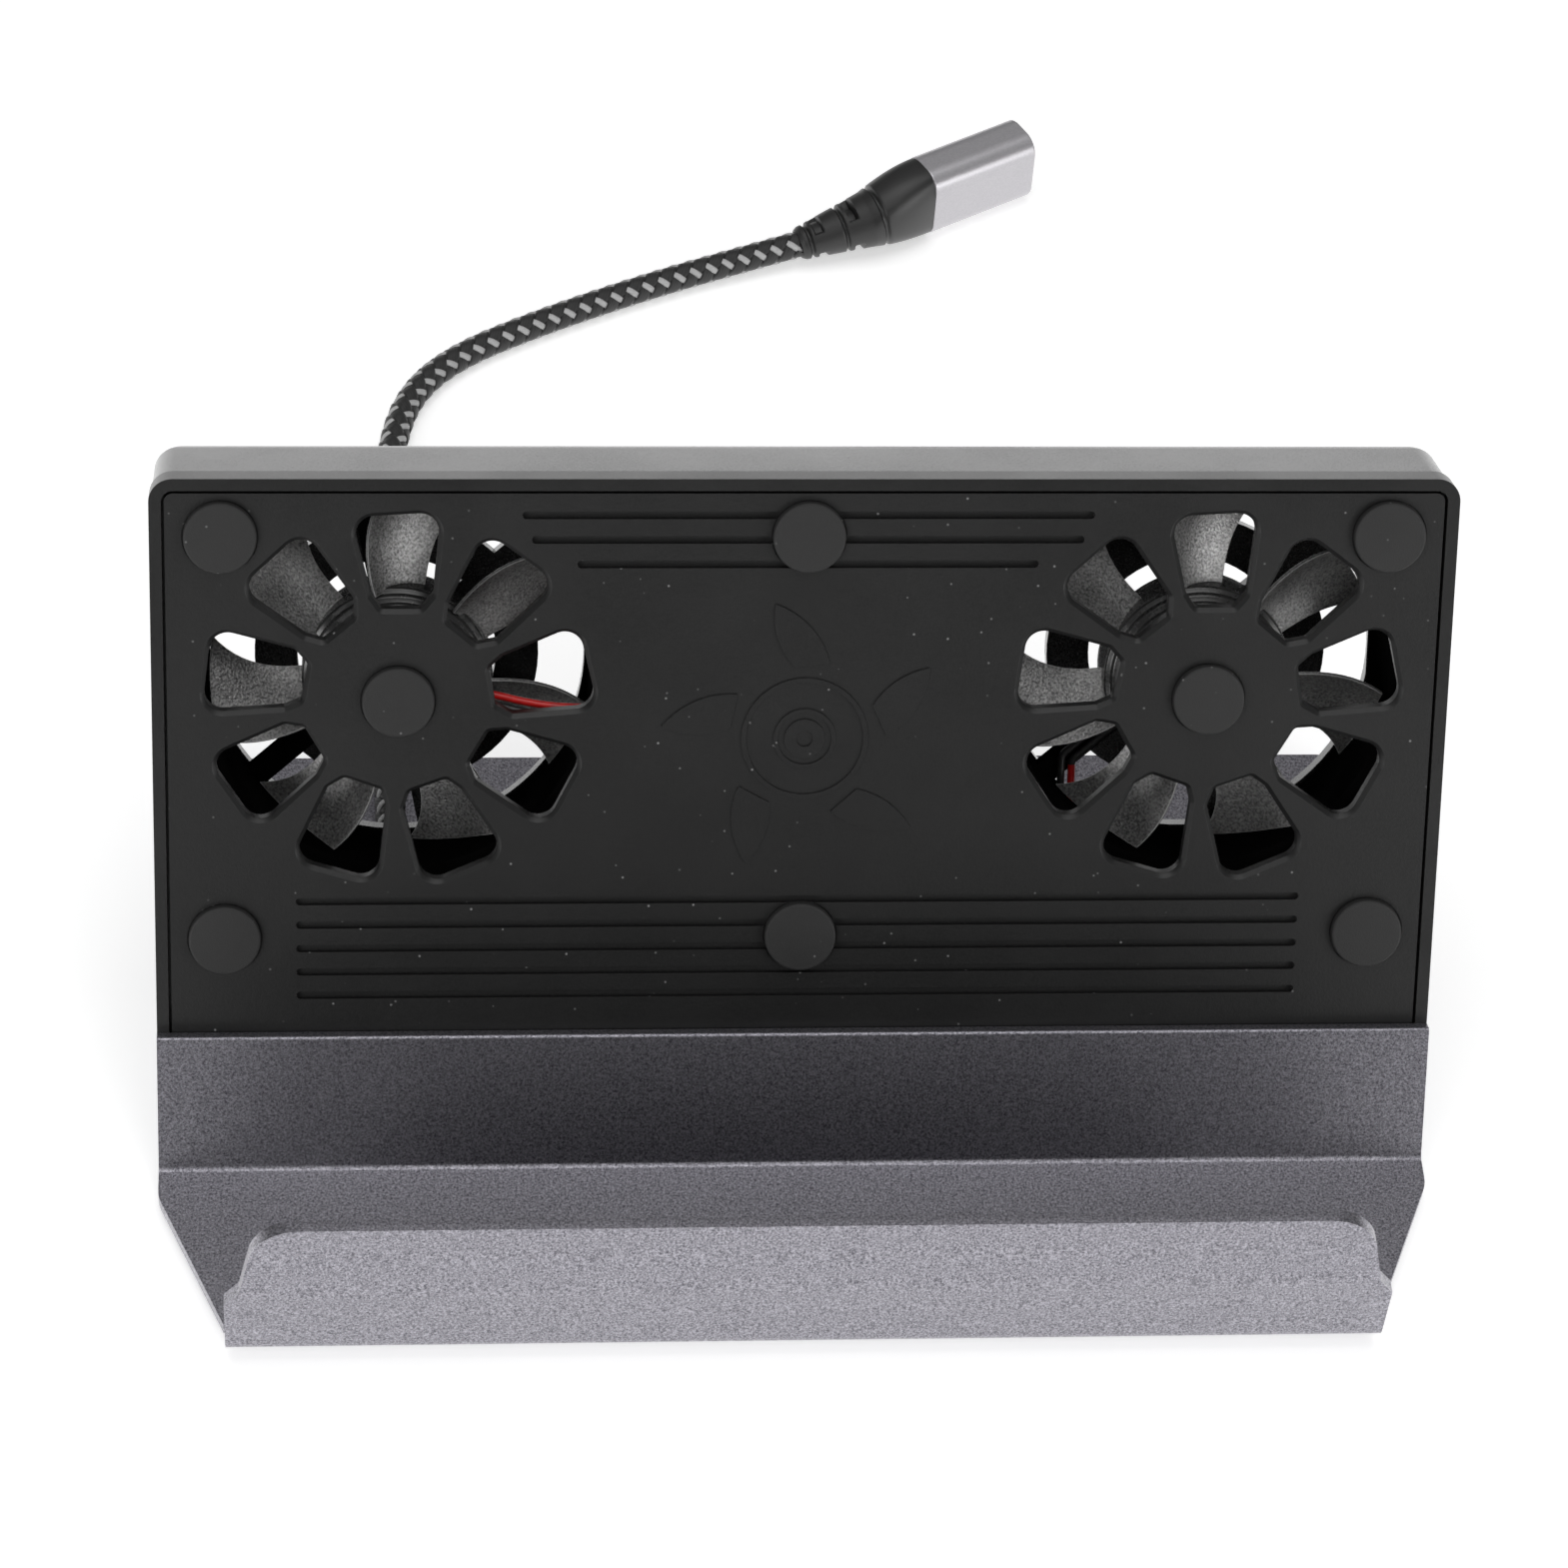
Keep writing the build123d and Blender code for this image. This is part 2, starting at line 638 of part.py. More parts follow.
# Fans, each drawn about its own axis with z towards the viewer and 0 on the frame's front
mount_front = fan_back - mount_depth
tube_front = mount_front - tube_length
blade_front = fan_front + blade_front_gap
hub_front = fan_front + hub_front_gap
hub_back = hub_front + hub_length
cap_back = hub_front + hub_cap
hub_bore = hub_radius - hub_wall
magnet_bore = hub_bore - magnet_thickness
magnet_front = cap_back + running_gap
stator_radius = magnet_bore - stator_gap
stator_front = magnet_front + (magnet_length - stator_height) / 2
winding_front = stator_front - (winding_height - stator_height) / 2
fan_board_front = mount_front - fan_board_thickness
fan_board_radius = mount_radius - fan_board_inset
shaft_end = mount_front + shaft_pit - running_gap / 2
wire_out = wire_radius - mount_front
blade_start = hub_radius - blade_root
blade_reach = fan_bore - blade_tip_gap - blade_start


def blade_section(radius, half_angle):
    """Corners of a blade's section at a radius: x left round the fan, y towards the viewer."""
    near = Vector(radius * math.sin(math.radians(half_angle)), -blade_front)
    far = Vector(-near.X, -blade_front - blade_axial)
    square = (far - near).normalized().rotate(Axis.Z, 90)
    half_chord = (near + far) / 2 + square * blade_camber
    end, middle = square * blade_thickness / 4, square * blade_thickness / 2
    return [near + end, half_chord + middle, far + end], [far - end, half_chord - middle, near - end]


for side, place, phase in fans:
    fan = slope_plane(place, fan_up)

    def fan_plane(depth, fan=fan):
        return fan.offset(-depth)

    wired_arm = arm_angles[0] if side == "left" else arm_angles[1]
    with BuildPart() as fan_frame:
        with BuildSketch(fan_plane(fan_front)):
            RectangleRounded(fan_size, fan_size, fan_corner_radius)
        extrude(amount=-fan_depth)
        fillet(fan_frame.faces().sort_by(out_axis)[0].edges(), fan_edge_round)
        with BuildSketch(fan_plane(fan_front)):
            Circle(fan_bore)
        extrude(amount=-fan_depth, mode=Mode.SUBTRACT)
        with BuildSketch(fan_plane(mount_front)):
            Circle(mount_radius)
            for angle in arm_angles:
                with Locations(Location((0, 0), angle)):
                    Rectangle(fan_bore + fan_wall / 2, arm_width, align=(Align.MIN, Align.CENTER))
        extrude(amount=-mount_depth)
        with BuildSketch(fan_plane(mount_front)):
            Circle(tube_radius)
        extrude(amount=tube_length)
        with BuildSketch(fan_plane(tube_front)):
            Circle(bearing_radius)
        extrude(amount=-tube_length - shaft_pit, mode=Mode.SUBTRACT)
        with BuildSketch(fan_plane(fan_front)):
            with GridLocations(fan_screw_spacing, fan_screw_spacing, 2, 2):
                Circle(screw_radius + screw_play)
        extrude(amount=-fan_depth, mode=Mode.SUBTRACT)
        with BuildSketch(fan_plane(mount_front)):
            if side == "left":
                with Locations(Location((0, 0), wired_arm)):
                    with Locations((fan_size / 2, 0)):
                        Rectangle(2 * (fan_size / 2 - guard_ring_outer), wire_slot)
            else:
                with Locations((-wire_drop, -fan_size / 2)):
                    Rectangle(wire_slot, 2 * (fan_size / 2 - wire_drop))
        extrude(amount=wire_slot_depth, mode=Mode.SUBTRACT)
    save(fan_frame, side + "_fan_frame")

    with BuildPart() as rotor:
        with BuildSketch(fan_plane(hub_front)):
            Circle(hub_radius - hub_step)
        extrude(amount=-hub_cap)
        with BuildSketch(fan_plane(hub_front + hub_step)):
            Circle(hub_radius)
        extrude(amount=hub_step - hub_length)
        chamfer(rotor.edges().filter_by(GeomType.CIRCLE).sort_by(out_axis)[-1], hub_step / 2)
        with BuildSketch(fan_plane(cap_back)):
            Circle(hub_bore)
        extrude(amount=cap_back - hub_back, mode=Mode.SUBTRACT)
        for number in range(blade_count):
            for share, near, far in blade_spans:
                radius = blade_start + share * blade_reach
                angle = math.radians(90 + phase + number * 360 / blade_count + (near + far) / 2)
                radial = fan.x_dir * math.cos(angle) + fan.y_dir * math.sin(angle)
                round_left = fan.y_dir * math.cos(angle) - fan.x_dir * math.sin(angle)
                with BuildSketch(Plane(fan.origin + radial * radius, round_left, radial)):
                    with BuildLine():
                        upper, lower = blade_section(radius, (near - far) / 2)
                        ThreePointArc(*upper)
                        Line(upper[-1], lower[0])
                        ThreePointArc(*lower)
                        Line(lower[-1], upper[0])
                    make_face()
            loft()
    save(rotor, side + "_rotor")

    with BuildPart() as magnet:
        with BuildSketch(fan_plane(magnet_front)):
            Circle(hub_bore)
            Circle(magnet_bore, mode=Mode.SUBTRACT)
        extrude(amount=-magnet_length)
    save(magnet, side + "_magnet")

    with BuildPart() as shaft:
        with BuildSketch(fan_plane(cap_back)):
            Circle(shaft_radius)
        extrude(amount=cap_back - shaft_end)
        chamfer(shaft.edges().sort_by(out_axis)[0], shaft_radius / 5)
    save(shaft, side + "_shaft")

    with BuildPart() as bearing:
        with BuildSketch(fan_plane(tube_front)):
            Circle(bearing_radius)
            Circle(shaft_radius + bearing_play, mode=Mode.SUBTRACT)
        extrude(amount=-tube_length)
    save(bearing, side + "_bearing")

    with BuildPart() as stator:
        with BuildSketch(fan_plane(stator_front)):
            Circle(stator_radius)
            Circle(stator_radius - stator_shoe, mode=Mode.SUBTRACT)
            with PolarLocations(0, stator_arms, start_angle=180 / stator_arms):
                Rectangle(stator_radius, stator_shoe, align=(Align.MIN, Align.CENTER), mode=Mode.SUBTRACT)
            Circle(winding_start)
            with PolarLocations(0, stator_arms):
                Rectangle(stator_radius - half_shoe, stator_arm_width, align=(Align.MIN, Align.CENTER))
            Circle(tube_radius, mode=Mode.SUBTRACT)
        extrude(amount=-stator_height)
    save(stator, side + "_stator")

    with BuildPart() as windings:
        with BuildSketch(fan_plane(winding_front)):
            with PolarLocations((winding_start + winding_end) / 2, stator_arms):
                Rectangle(winding_end - winding_start - winding_gap, winding_width)
        extrude(amount=-winding_height)
        with BuildSketch(fan_plane(stator_front)):
            with PolarLocations(0, stator_arms):
                Rectangle(stator_radius, stator_arm_width, align=(Align.MIN, Align.CENTER))
        extrude(amount=-stator_height, mode=Mode.SUBTRACT)
    save(windings, side + "_windings")

    with BuildPart() as fan_board:
        with BuildSketch(fan_plane(fan_board_front)):
            Circle(fan_board_radius)
            Circle(tube_radius, mode=Mode.SUBTRACT)
        extrude(amount=-fan_board_thickness)
    save(fan_board, side + "_fan_board")

    with BuildPart() as fan_screws:
        with BuildSketch(fan_plane(fan_front)):
            with GridLocations(fan_screw_spacing, fan_screw_spacing, 2, 2):
                Circle(screw_head_radius)
        extrude(amount=screw_head_height)
        fillet(fan_screws.edges().group_by(out_axis)[-1], screw_head_height / 3)
        with BuildSketch(fan_plane(fan_front)):
            with GridLocations(fan_screw_spacing, fan_screw_spacing, 2, 2):
                Circle(screw_radius)
        extrude(amount=screw_play - fan_depth - fan_stand - fan_screw_bite)
    save(fan_screws, side + "_fan_screws")

    # two leads run out along an arm, through the frame's slot and down to the hub's header
    header_x = place + wire_turns[side]
    arm = Vector(1, 0, 0).rotate(Axis.Z, wired_arm)
    beside = arm.rotate(Axis.Z, 90)
    for colour, shift in (("red", wire_spacing / 2), ("black", -wire_spacing / 2)):
        start = arm * fan_board_radius + beside * shift
        turn_x = wire_turns[side] + shift
        turn_y = start.Y + (turn_x - start.X) * arm.Y / arm.X
        with BuildPart() as fan_lead:
            with BuildLine():
                route = FilletPolyline(
                    fan.from_local_coords(Vector(start.X, start.Y, wire_out)),
                    fan.from_local_coords(Vector(turn_x, turn_y, wire_out)),
                    fan.from_local_coords(Vector(turn_x, wire_foot - fan_up, wire_out)),
                    Vector(header_x + shift, header_y, header_top + 3 * wire_bend),
                    Vector(header_x + shift, header_y, header_top),
                    radius=wire_bend,
                )
            with BuildSketch(Plane(route @ 0, z_dir=route % 0)):
                Circle(wire_radius)
            sweep()
        save(fan_lead, side + "_" + colour + "_lead")

# Hub board with its spacers, chips, headers and sockets
with BuildPart() as hub_board:
    with BuildSketch(Plane.XY.offset(floor_top + board_rise)):
        with Locations((0, (board_front_y + board_back_y) / 2)):
            Rectangle(2 * board_half, board_back_y - board_front_y)
        with Locations(*spacer_places):
            Circle(screw_radius + screw_play, mode=Mode.SUBTRACT)
    extrude(amount=board_thickness)
save(hub_board, "hub_board")

with BuildPart() as board_spacers:
    with BuildSketch(Plane.XY.offset(floor_top)):
        with Locations(*spacer_places):
            Circle(spacer_radius)
            Circle(screw_radius + screw_play, mode=Mode.SUBTRACT)
    extrude(amount=board_rise)
save(board_spacers, "board_spacers")

with BuildPart() as hub_chips:
    for x, size in chip_places:
        with Locations((x, board_front_y + chip_row, board_top)):
            Box(size, size, chip_height, align=centre_low)
save(hub_chips, "hub_chips")

with BuildPart() as fan_headers:
    with Locations(*[(x, header_y, board_top) for x in header_places]):
        Box(header_width, header_depth, header_height, align=centre_low)
save(fan_headers, "fan_headers")

for name, (x, width, height, depth, skin, tongue) in ports.items():
    with BuildPart() as socket:
        opening = Plane.XZ.offset(-bay_back_y)
        with BuildSketch(opening):
            with Locations((x, board_top + height / 2)):
                Rectangle(width, height)
        extrude(amount=depth)
        with BuildSketch(opening):
            with Locations((x, board_top + height / 2)):
                Rectangle(width - 2 * skin, height - 2 * skin)
        extrude(amount=depth - port_back, mode=Mode.SUBTRACT)
        if tongue:
            with BuildSketch(opening.offset(tongue_recess)):
                with Locations((x, board_top + height / 2)):
                    Rectangle(width * tongue_width_share, tongue)
            extrude(amount=depth - port_back - tongue_recess)
    save(socket, name)

# Screws: stand to frame, plate to shell and board, and panel to shell
with BuildPart() as tray_screws:
    for reach, radius in ((screw_head_height, screw_head_radius), (-bezel_depth - screw_bite, screw_radius)):
        with BuildSketch(slope.offset(-bezel_depth)):
            with Locations(*[(across, tray_screw_rise) for across in tray_screw_places]):
                Circle(radius)
        extrude(amount=-reach)
save(tray_screws, "tray_screws")

head_top = foot_height + countersink
with BuildPart() as plate_screws:
    with BuildSketch(Plane.XY.offset(head_top)):
        with Locations(*shell_screw_places, *spacer_places):
            Circle(screw_head_radius)
    extrude(amount=-screw_head_height)
    with BuildSketch(Plane.XY.offset(head_top)):
        with Locations(*shell_screw_places, *spacer_places):
            Circle(screw_radius)
    extrude(amount=board_top + screw_bite - head_top)
save(plate_screws, "plate_screws")

head_front = body_depth - head_recess
with BuildPart() as panel_screws:
    with BuildSketch(slope.offset(-head_front)):
        with Locations(*post_places):
            Circle(screw_head_radius)
    extrude(amount=-screw_head_height)
    with BuildSketch(slope.offset(-head_front)):
        with Locations(*post_places):
            Circle(screw_radius)
    extrude(amount=head_front - boss_split + post_screw_bite - screw_play)
save(panel_screws, "panel_screws")

# Gland, cord and plug, lying on the table
with BuildPart() as cord_gland:
    with BuildSketch(Plane.XZ.offset(wall - bay_back_y)):
        with Locations((gland_place, gland_height)):
            Circle(gland_radius)
    extrude(amount=-wall)
    with BuildSketch(Plane.XZ.offset(-bay_back_y)):
        with Locations((gland_place, gland_height)):
            Circle(gland_flange_radius)
    extrude(amount=-gland_flange)
    with BuildSketch(Plane.XZ.offset(-bay_back_y)):
        with Locations((gland_place, gland_height)):
            Circle(gland_radius)
    with BuildSketch(Plane.XZ.offset(-bay_back_y - gland_length)):
        with Locations((gland_place, gland_height)):
            Circle(gland_end_radius)
    loft()
save(cord_gland, "cord_gland")

points = [Vector(*point) for point in cord_route]
radii = []
for before, here, after in zip(points, points[1:], points[2:]):
    half_turn = (here - before).get_angle(after - here) / 2
    shorter = min((here - before).length, (after - here).length)
    radii.append(run_share * shorter / math.tan(math.radians(half_turn)))
print("cord radii", [round(radius, 1) for radius in radii])
with BuildPart() as usb_cord:
    with BuildLine():
        cord_line = FilletPolyline(*points, radius=radii)
    with BuildSketch(Plane(cord_line @ 0, z_dir=cord_line % 0)):
        Circle(cord_radius)
    sweep()
tube = cord_line.length * math.pi * cord_radius**2
print("cord length", round(cord_line.length, 1), "volume to tube", round(usb_cord.part.volume / tube, 4))
save(usb_cord, "usb_cord")

relief_from, relief_to = Vector(*cord_route[-1]), Vector(*relief_end)
relief_run = relief_to - relief_from
relief_plane = Plane(relief_from, Vector(0, 0, 1).cross(relief_run), relief_run)
relief_tip = relief_plane.offset(relief_run.length)
with BuildPart() as plug_relief:
    with BuildSketch(Plane(relief_from, relief_plane.x_dir, cord_line % 1)):
        Circle(relief_start_radius)
    with BuildSketch(relief_tip):
        Circle(relief_end_radius)
    loft()
    for notch in range(relief_notches):
        for half, sign in ((0, 1), (0.5, -1)):
            along = relief_run.length * (notch + relief_notch_start + half) / (relief_notches + 0.5)
            with BuildSketch(relief_plane.offset(along - relief_notch_width / 2)):
                with Locations((0, sign * relief_end_radius)):
                    Rectangle(3 * relief_end_radius, 2 * (relief_end_radius - cord_radius - relief_skin))
            extrude(amount=relief_notch_width, mode=Mode.SUBTRACT)
save(plug_relief, "plug_relief")

heading = math.radians(plug_turn)
ahead, aside = Vector(math.cos(heading), math.sin(heading)), Vector(-math.sin(heading), math.cos(heading))
plug_plane = Plane(Vector(*plug_start), aside, ahead)
boot_heading = relief_tip.z_dir + ahead
boot_across = Vector(0, 0, 1).cross(boot_heading)
boot_plane = Plane((relief_tip.origin + plug_plane.origin) / 2, boot_across, boot_heading)
boot_middle = [size / 2 + relief_end_radius + boot_swell for size in (plug_thickness, plug_height)]
with BuildPart() as plug_boot:
    with BuildSketch(relief_tip):
        RectangleRounded(2 * relief_end_radius, 2 * relief_end_radius, relief_end_radius - screw_play)
    with BuildSketch(boot_plane):
        RectangleRounded(*boot_middle, plug_corner + boot_swell)
    with BuildSketch(plug_plane):
        RectangleRounded(plug_thickness, plug_height, plug_corner)
    loft()
save(plug_boot, "plug_boot")

with BuildPart() as plug_shell:
    with BuildSketch(plug_plane):
        RectangleRounded(plug_thickness, plug_height, plug_corner)
    extrude(amount=plug_length)
    fillet(plug_shell.faces().sort_by(Axis(plug_plane.origin, ahead))[-1].edges(), edge_break)
save(plug_shell, "plug_shell")

tip_origin = plug_plane.origin + ahead * tip_place + Vector(0, 0, -tip_drop) + aside * plug_thickness / 2
tip_plane = Plane(tip_origin, ahead, aside)
with BuildPart() as plug_tip:
    with BuildSketch(tip_plane):
        RectangleRounded(tip_width, tip_height, tip_height / 2 - tip_skin / 4)
    extrude(amount=tip_length)
    with BuildSketch(tip_plane.offset(tip_length)):
        RectangleRounded(tip_width - 2 * tip_skin, tip_height - 2 * tip_skin, tip_height / 2 - tip_skin * 1.25)
    extrude(amount=2 * tip_skin - tip_length, mode=Mode.SUBTRACT)
    with BuildSketch(tip_plane):
        Rectangle(tip_width - tip_height, tip_height / 4)
    extrude(amount=tip_length - 2 * tip_skin)
save(plug_tip, "plug_tip")
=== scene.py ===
import math

import bmesh
import bpy
from mathutils import Matrix, Vector


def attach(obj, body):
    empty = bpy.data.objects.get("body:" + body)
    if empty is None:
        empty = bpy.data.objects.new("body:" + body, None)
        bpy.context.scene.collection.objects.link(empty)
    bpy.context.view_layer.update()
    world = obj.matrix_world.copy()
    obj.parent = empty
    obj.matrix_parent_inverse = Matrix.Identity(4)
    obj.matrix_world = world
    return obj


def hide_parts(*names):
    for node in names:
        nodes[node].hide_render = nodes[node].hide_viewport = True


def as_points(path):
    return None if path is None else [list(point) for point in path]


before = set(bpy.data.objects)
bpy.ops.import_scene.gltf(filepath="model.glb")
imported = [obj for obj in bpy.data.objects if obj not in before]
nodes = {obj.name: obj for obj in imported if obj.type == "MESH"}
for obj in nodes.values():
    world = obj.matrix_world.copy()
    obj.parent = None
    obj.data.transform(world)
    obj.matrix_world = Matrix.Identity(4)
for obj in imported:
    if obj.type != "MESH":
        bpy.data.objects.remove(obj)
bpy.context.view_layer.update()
scene = bpy.context.scene
scene.view_settings.view_transform = "Standard"
mm = 0.001
fullTurn = 2 * math.pi

# The slope that the fans and the panel lie on: x across, y up the slope, z towards the viewer
slope = {"lean": 61.0, "origin": (0.0, -21.32875, 3.03038), "fanAcross": 56.25, "fanUp": 68.7}
slopeTurn = Matrix.Rotation(math.radians(slope["lean"]), 4, "X")
slopeMatrix = Matrix.Translation(Vector(slope["origin"]) * mm) @ slopeTurn


def onSlope(across, up):
    return Matrix.Translation(slopeMatrix @ Vector((across * mm, up * mm, 0.0))) @ slopeTurn


fans = {
    # the fan's axis, and the degrees that its rotor rests turned by
    "left": {"matrix": onSlope(-slope["fanAcross"], slope["fanUp"]), "phase": 0.0},
    "right": {"matrix": onSlope(slope["fanAcross"], slope["fanUp"]), "phase": 2.5},
}


class Link:  # one output of a node; sums on it become Math nodes
    def __init__(self, graph, socket):
        self.graph = graph
        self.socket = socket

    def at(self, output):  # another output of the same node
        return Link(self.graph, self.socket.node.outputs[output])

    def between(self, low, high):  # 0 below low, 1 above high
        inputs = {"Value": self, "From Min": low, "From Max": high}
        return self.graph.add("ShaderNodeMapRange", {"clamp": True}, inputs)

    def __add__(self, other):
        return self.graph.maths("ADD", self, other)

    def __sub__(self, other):
        return self.graph.maths("SUBTRACT", self, other)

    def __rsub__(self, other):
        return self.graph.maths("SUBTRACT", other, self)

    def __mul__(self, other):
        return self.graph.maths("MULTIPLY", self, other)

    def __truediv__(self, other):
        return self.graph.maths("DIVIDE", self, other)

    def __rtruediv__(self, other):
        return self.graph.maths("DIVIDE", other, self)

    __radd__ = __add__
    __rmul__ = __mul__


class Graph:
    def __init__(self, tree):
        self.tree = tree

    def add(self, kind, settings=None, inputs=None, out=0):
        made = self.tree.nodes.new(kind)
        for name, value in (settings or {}).items():
            setattr(made, name, value)
        for name, value in (inputs or {}).items():
            if isinstance(value, Link):
                self.tree.links.new(value.socket, made.inputs[name])
            else:
                made.inputs[name].default_value = value
        return Link(self, made.outputs[out]) if made.outputs else made

    def maths(self, operation, *values):
        return self.add("ShaderNodeMath", {"operation": operation}, dict(enumerate(values)))

    def vectors(self, operation, inputs):
        return self.add("ShaderNodeVectorMath", {"operation": operation}, inputs)

    def joined(self, pieces):
        join = self.tree.nodes.new("GeometryNodeJoinGeometry")
        for piece in pieces:
            self.tree.links.new(piece.socket, join.inputs[0])
        return Link(self, join.outputs[0])

    def finished(self, geometry, material):
        inputs = {"Geometry": geometry, "Material": material}
        return self.add("GeometryNodeSetMaterial", None, inputs)

    def grain(self, position, size, detail=2.0, rough=0.5):  # noise with features of size mm
        inputs = {"Vector": position, "Scale": 1 / (size * mm), "Detail": detail}
        return self.add("ShaderNodeTexNoise", None, {**inputs, "Roughness": rough})

    def mixColour(self, share, first, second):
        settings = {"data_type": "RGBA"}
        return self.add("ShaderNodeMix", settings, {0: share, 6: first, 7: second}, out=2)

    def bump(self, height, strength, depth):  # depth in mm
        inputs = {"Height": height, "Strength": strength, "Distance": depth * mm}
        return self.add("ShaderNodeBump", None, inputs)

    def principled(self, inputs):
        return self.add("ShaderNodeBsdfPrincipled", None, inputs)


def grey(value, warm=0.0):
    return (value * (1 + warm), value, value * (1 - warm), 1.0)


def makeMaterial(name, build):
    made = bpy.data.materials.new(name)
    made.use_nodes = True
    made.node_tree.nodes.clear()
    graph = Graph(made.node_tree)
    position = graph.add("ShaderNodeTexCoord", out="Object")
    graph.add("ShaderNodeOutputMaterial", None, {"Surface": build(graph, position)})
    return made


# Materials; every grain and depth is in mm
sheetLook = {
    "dark": (0.060, 0.058, 0.070, 1),
    "light": (0.37, 0.361, 0.398, 1),
    "metallic": 0.85,
    "rough": 0.42,
    "shinier": 0.08,  # how much smoother the pale specks are
    "grain": 0.36,
    "fineGrain": 0.162,
    "fineShare": 0.35,
    "speckRange": (0.38, 0.64),
    "depth": 0.02,
}
edgeLook = {
    "dark": (0.52, 0.51, 0.55, 1),
    "light": (0.66, 0.65, 0.69, 1),
    "metallic": 0.9,
    "rough": 0.3,
    "grain": 0.5,
}


def blastedSheet(graph, position):
    coarse = graph.grain(position, sheetLook["grain"], 3.0, 0.7)
    fine = graph.grain(position, sheetLook["fineGrain"], 1.0)
    both = coarse * (1 - sheetLook["fineShare"]) + fine * sheetLook["fineShare"]
    # the pale specks are partly the blasted grain's real tone and partly painted glints, lighter in
    # colour as well as smoother and raised
    glintSpecks = both.between(*sheetLook["speckRange"])
    return graph.principled(
        {
            "Base Color": graph.mixColour(glintSpecks, sheetLook["dark"], sheetLook["light"]),
            "Metallic": sheetLook["metallic"],
            "Roughness": sheetLook["rough"] - glintSpecks * sheetLook["shinier"],
            "Normal": graph.bump(glintSpecks, 0.5, sheetLook["depth"]),
        }
    )


def cutSheetEdge(graph, position):
    streak = graph.grain(position, edgeLook["grain"]).between(0.3, 0.7)
    return graph.principled(
        {
            "Base Color": graph.mixColour(streak, edgeLook["dark"], edgeLook["light"]),
            "Metallic": edgeLook["metallic"],
            "Roughness": edgeLook["rough"],
        }
    )


blackLooks = {
    # base is the grey and spread how far it varies; dust is how strong the pale specks are
    "housingBlack": {"base": 0.014, "rough": 0.26, "grain": 0.35, "depth": 0.012},
    "rimBlack": {"base": 0.009, "rough": 0.36, "grain": 0.3, "depth": 0.008},
    "panelBlack": {
        "base": 0.0048, "rough": 0.46, "gloss": 0.4, "grain": 0.4, "depth": 0.014, "dust": 0.8,
    },
    "padRubber": {"base": 0.008, "rough": 0.7, "grain": 0.25, "depth": 0.02, "dust": 0.5},
    "footRubber": {"base": 0.02, "rough": 0.75, "grain": 0.3, "depth": 0.02},
    # the blades' grey is lifted well past their own dark grey, with a wide spread and a metallic
    # share, as a painted sheen of the lamps
    "fanBlack": {
        "base": 0.32, "spread": 0.8, "rough": 0.4, "metallic": 0.75, "grain": 0.36, "depth": 0.06,
    },
    "hubBlack": {"base": 0.07, "rough": 0.26, "metallic": 0.5, "grain": 0.8, "depth": 0.004},
    # the pale grey on the blades' rounded edges is a painted highlight along them
    "fanEdge": {"base": 0.4, "rough": 0.35, "grain": 0.3, "depth": 0.004},
    "ductBlack": {"base": 0.003, "rough": 0.5, "gloss": 0.0, "grain": 0.4, "depth": 0.01},
    "reliefBlack": {"base": 0.013, "rough": 0.5, "grain": 0.25, "depth": 0.015},
    "bootBlack": {"base": 0.012, "rough": 0.42, "grain": 0.2, "depth": 0.01},
    "chipBlack": {"base": 0.02, "rough": 0.5, "grain": 0.2, "depth": 0.01},
    "wireBlack": {"base": 0.02, "rough": 0.35, "grain": 0.6, "depth": 0.01},
}
dustFacts = {
    "cell": 2.2, "spot": (0.04, 0.1), "patch": 4.0, "patchRange": (0.5, 0.62), "grey": 0.22,
}


def blackPlastic(look):
    def build(graph, position):
        cloud = graph.grain(position, 18.0, 3.0, 0.6).between(0.3, 0.7)
        grains = graph.grain(position, look["grain"], 2.0, 0.6).between(0.3, 0.7)
        spread = look.get("spread", 0.15)
        low, high = grey(look["base"] * (1 - spread)), grey(look["base"] * (1 + spread), 0.01)
        colour = graph.mixColour(cloud * 0.3 + grains * 0.7, low, high)
        if "dust" in look:
            inputs = {"Vector": position, "Scale": 1 / (dustFacts["cell"] * mm)}
            cells = graph.add("ShaderNodeTexVoronoi", None, inputs)
            spots = 1 - cells.between(*dustFacts["spot"])
            patches = graph.grain(position, dustFacts["patch"], 1.0)
            share = spots * patches.between(*dustFacts["patchRange"]) * look["dust"]
            colour = graph.mixColour(share, colour, grey(dustFacts["grey"]))
        return graph.principled(
            {
                "Base Color": colour,
                "Metallic": look.get("metallic", 0.0),
                "Roughness": cloud * 0.05 + grains * 0.06 + (look["rough"] - 0.05),
                "Specular IOR Level": look.get("gloss", 0.5),
                "Normal": graph.bump(grains, 0.6, look["depth"]),
            }
        )

    return build


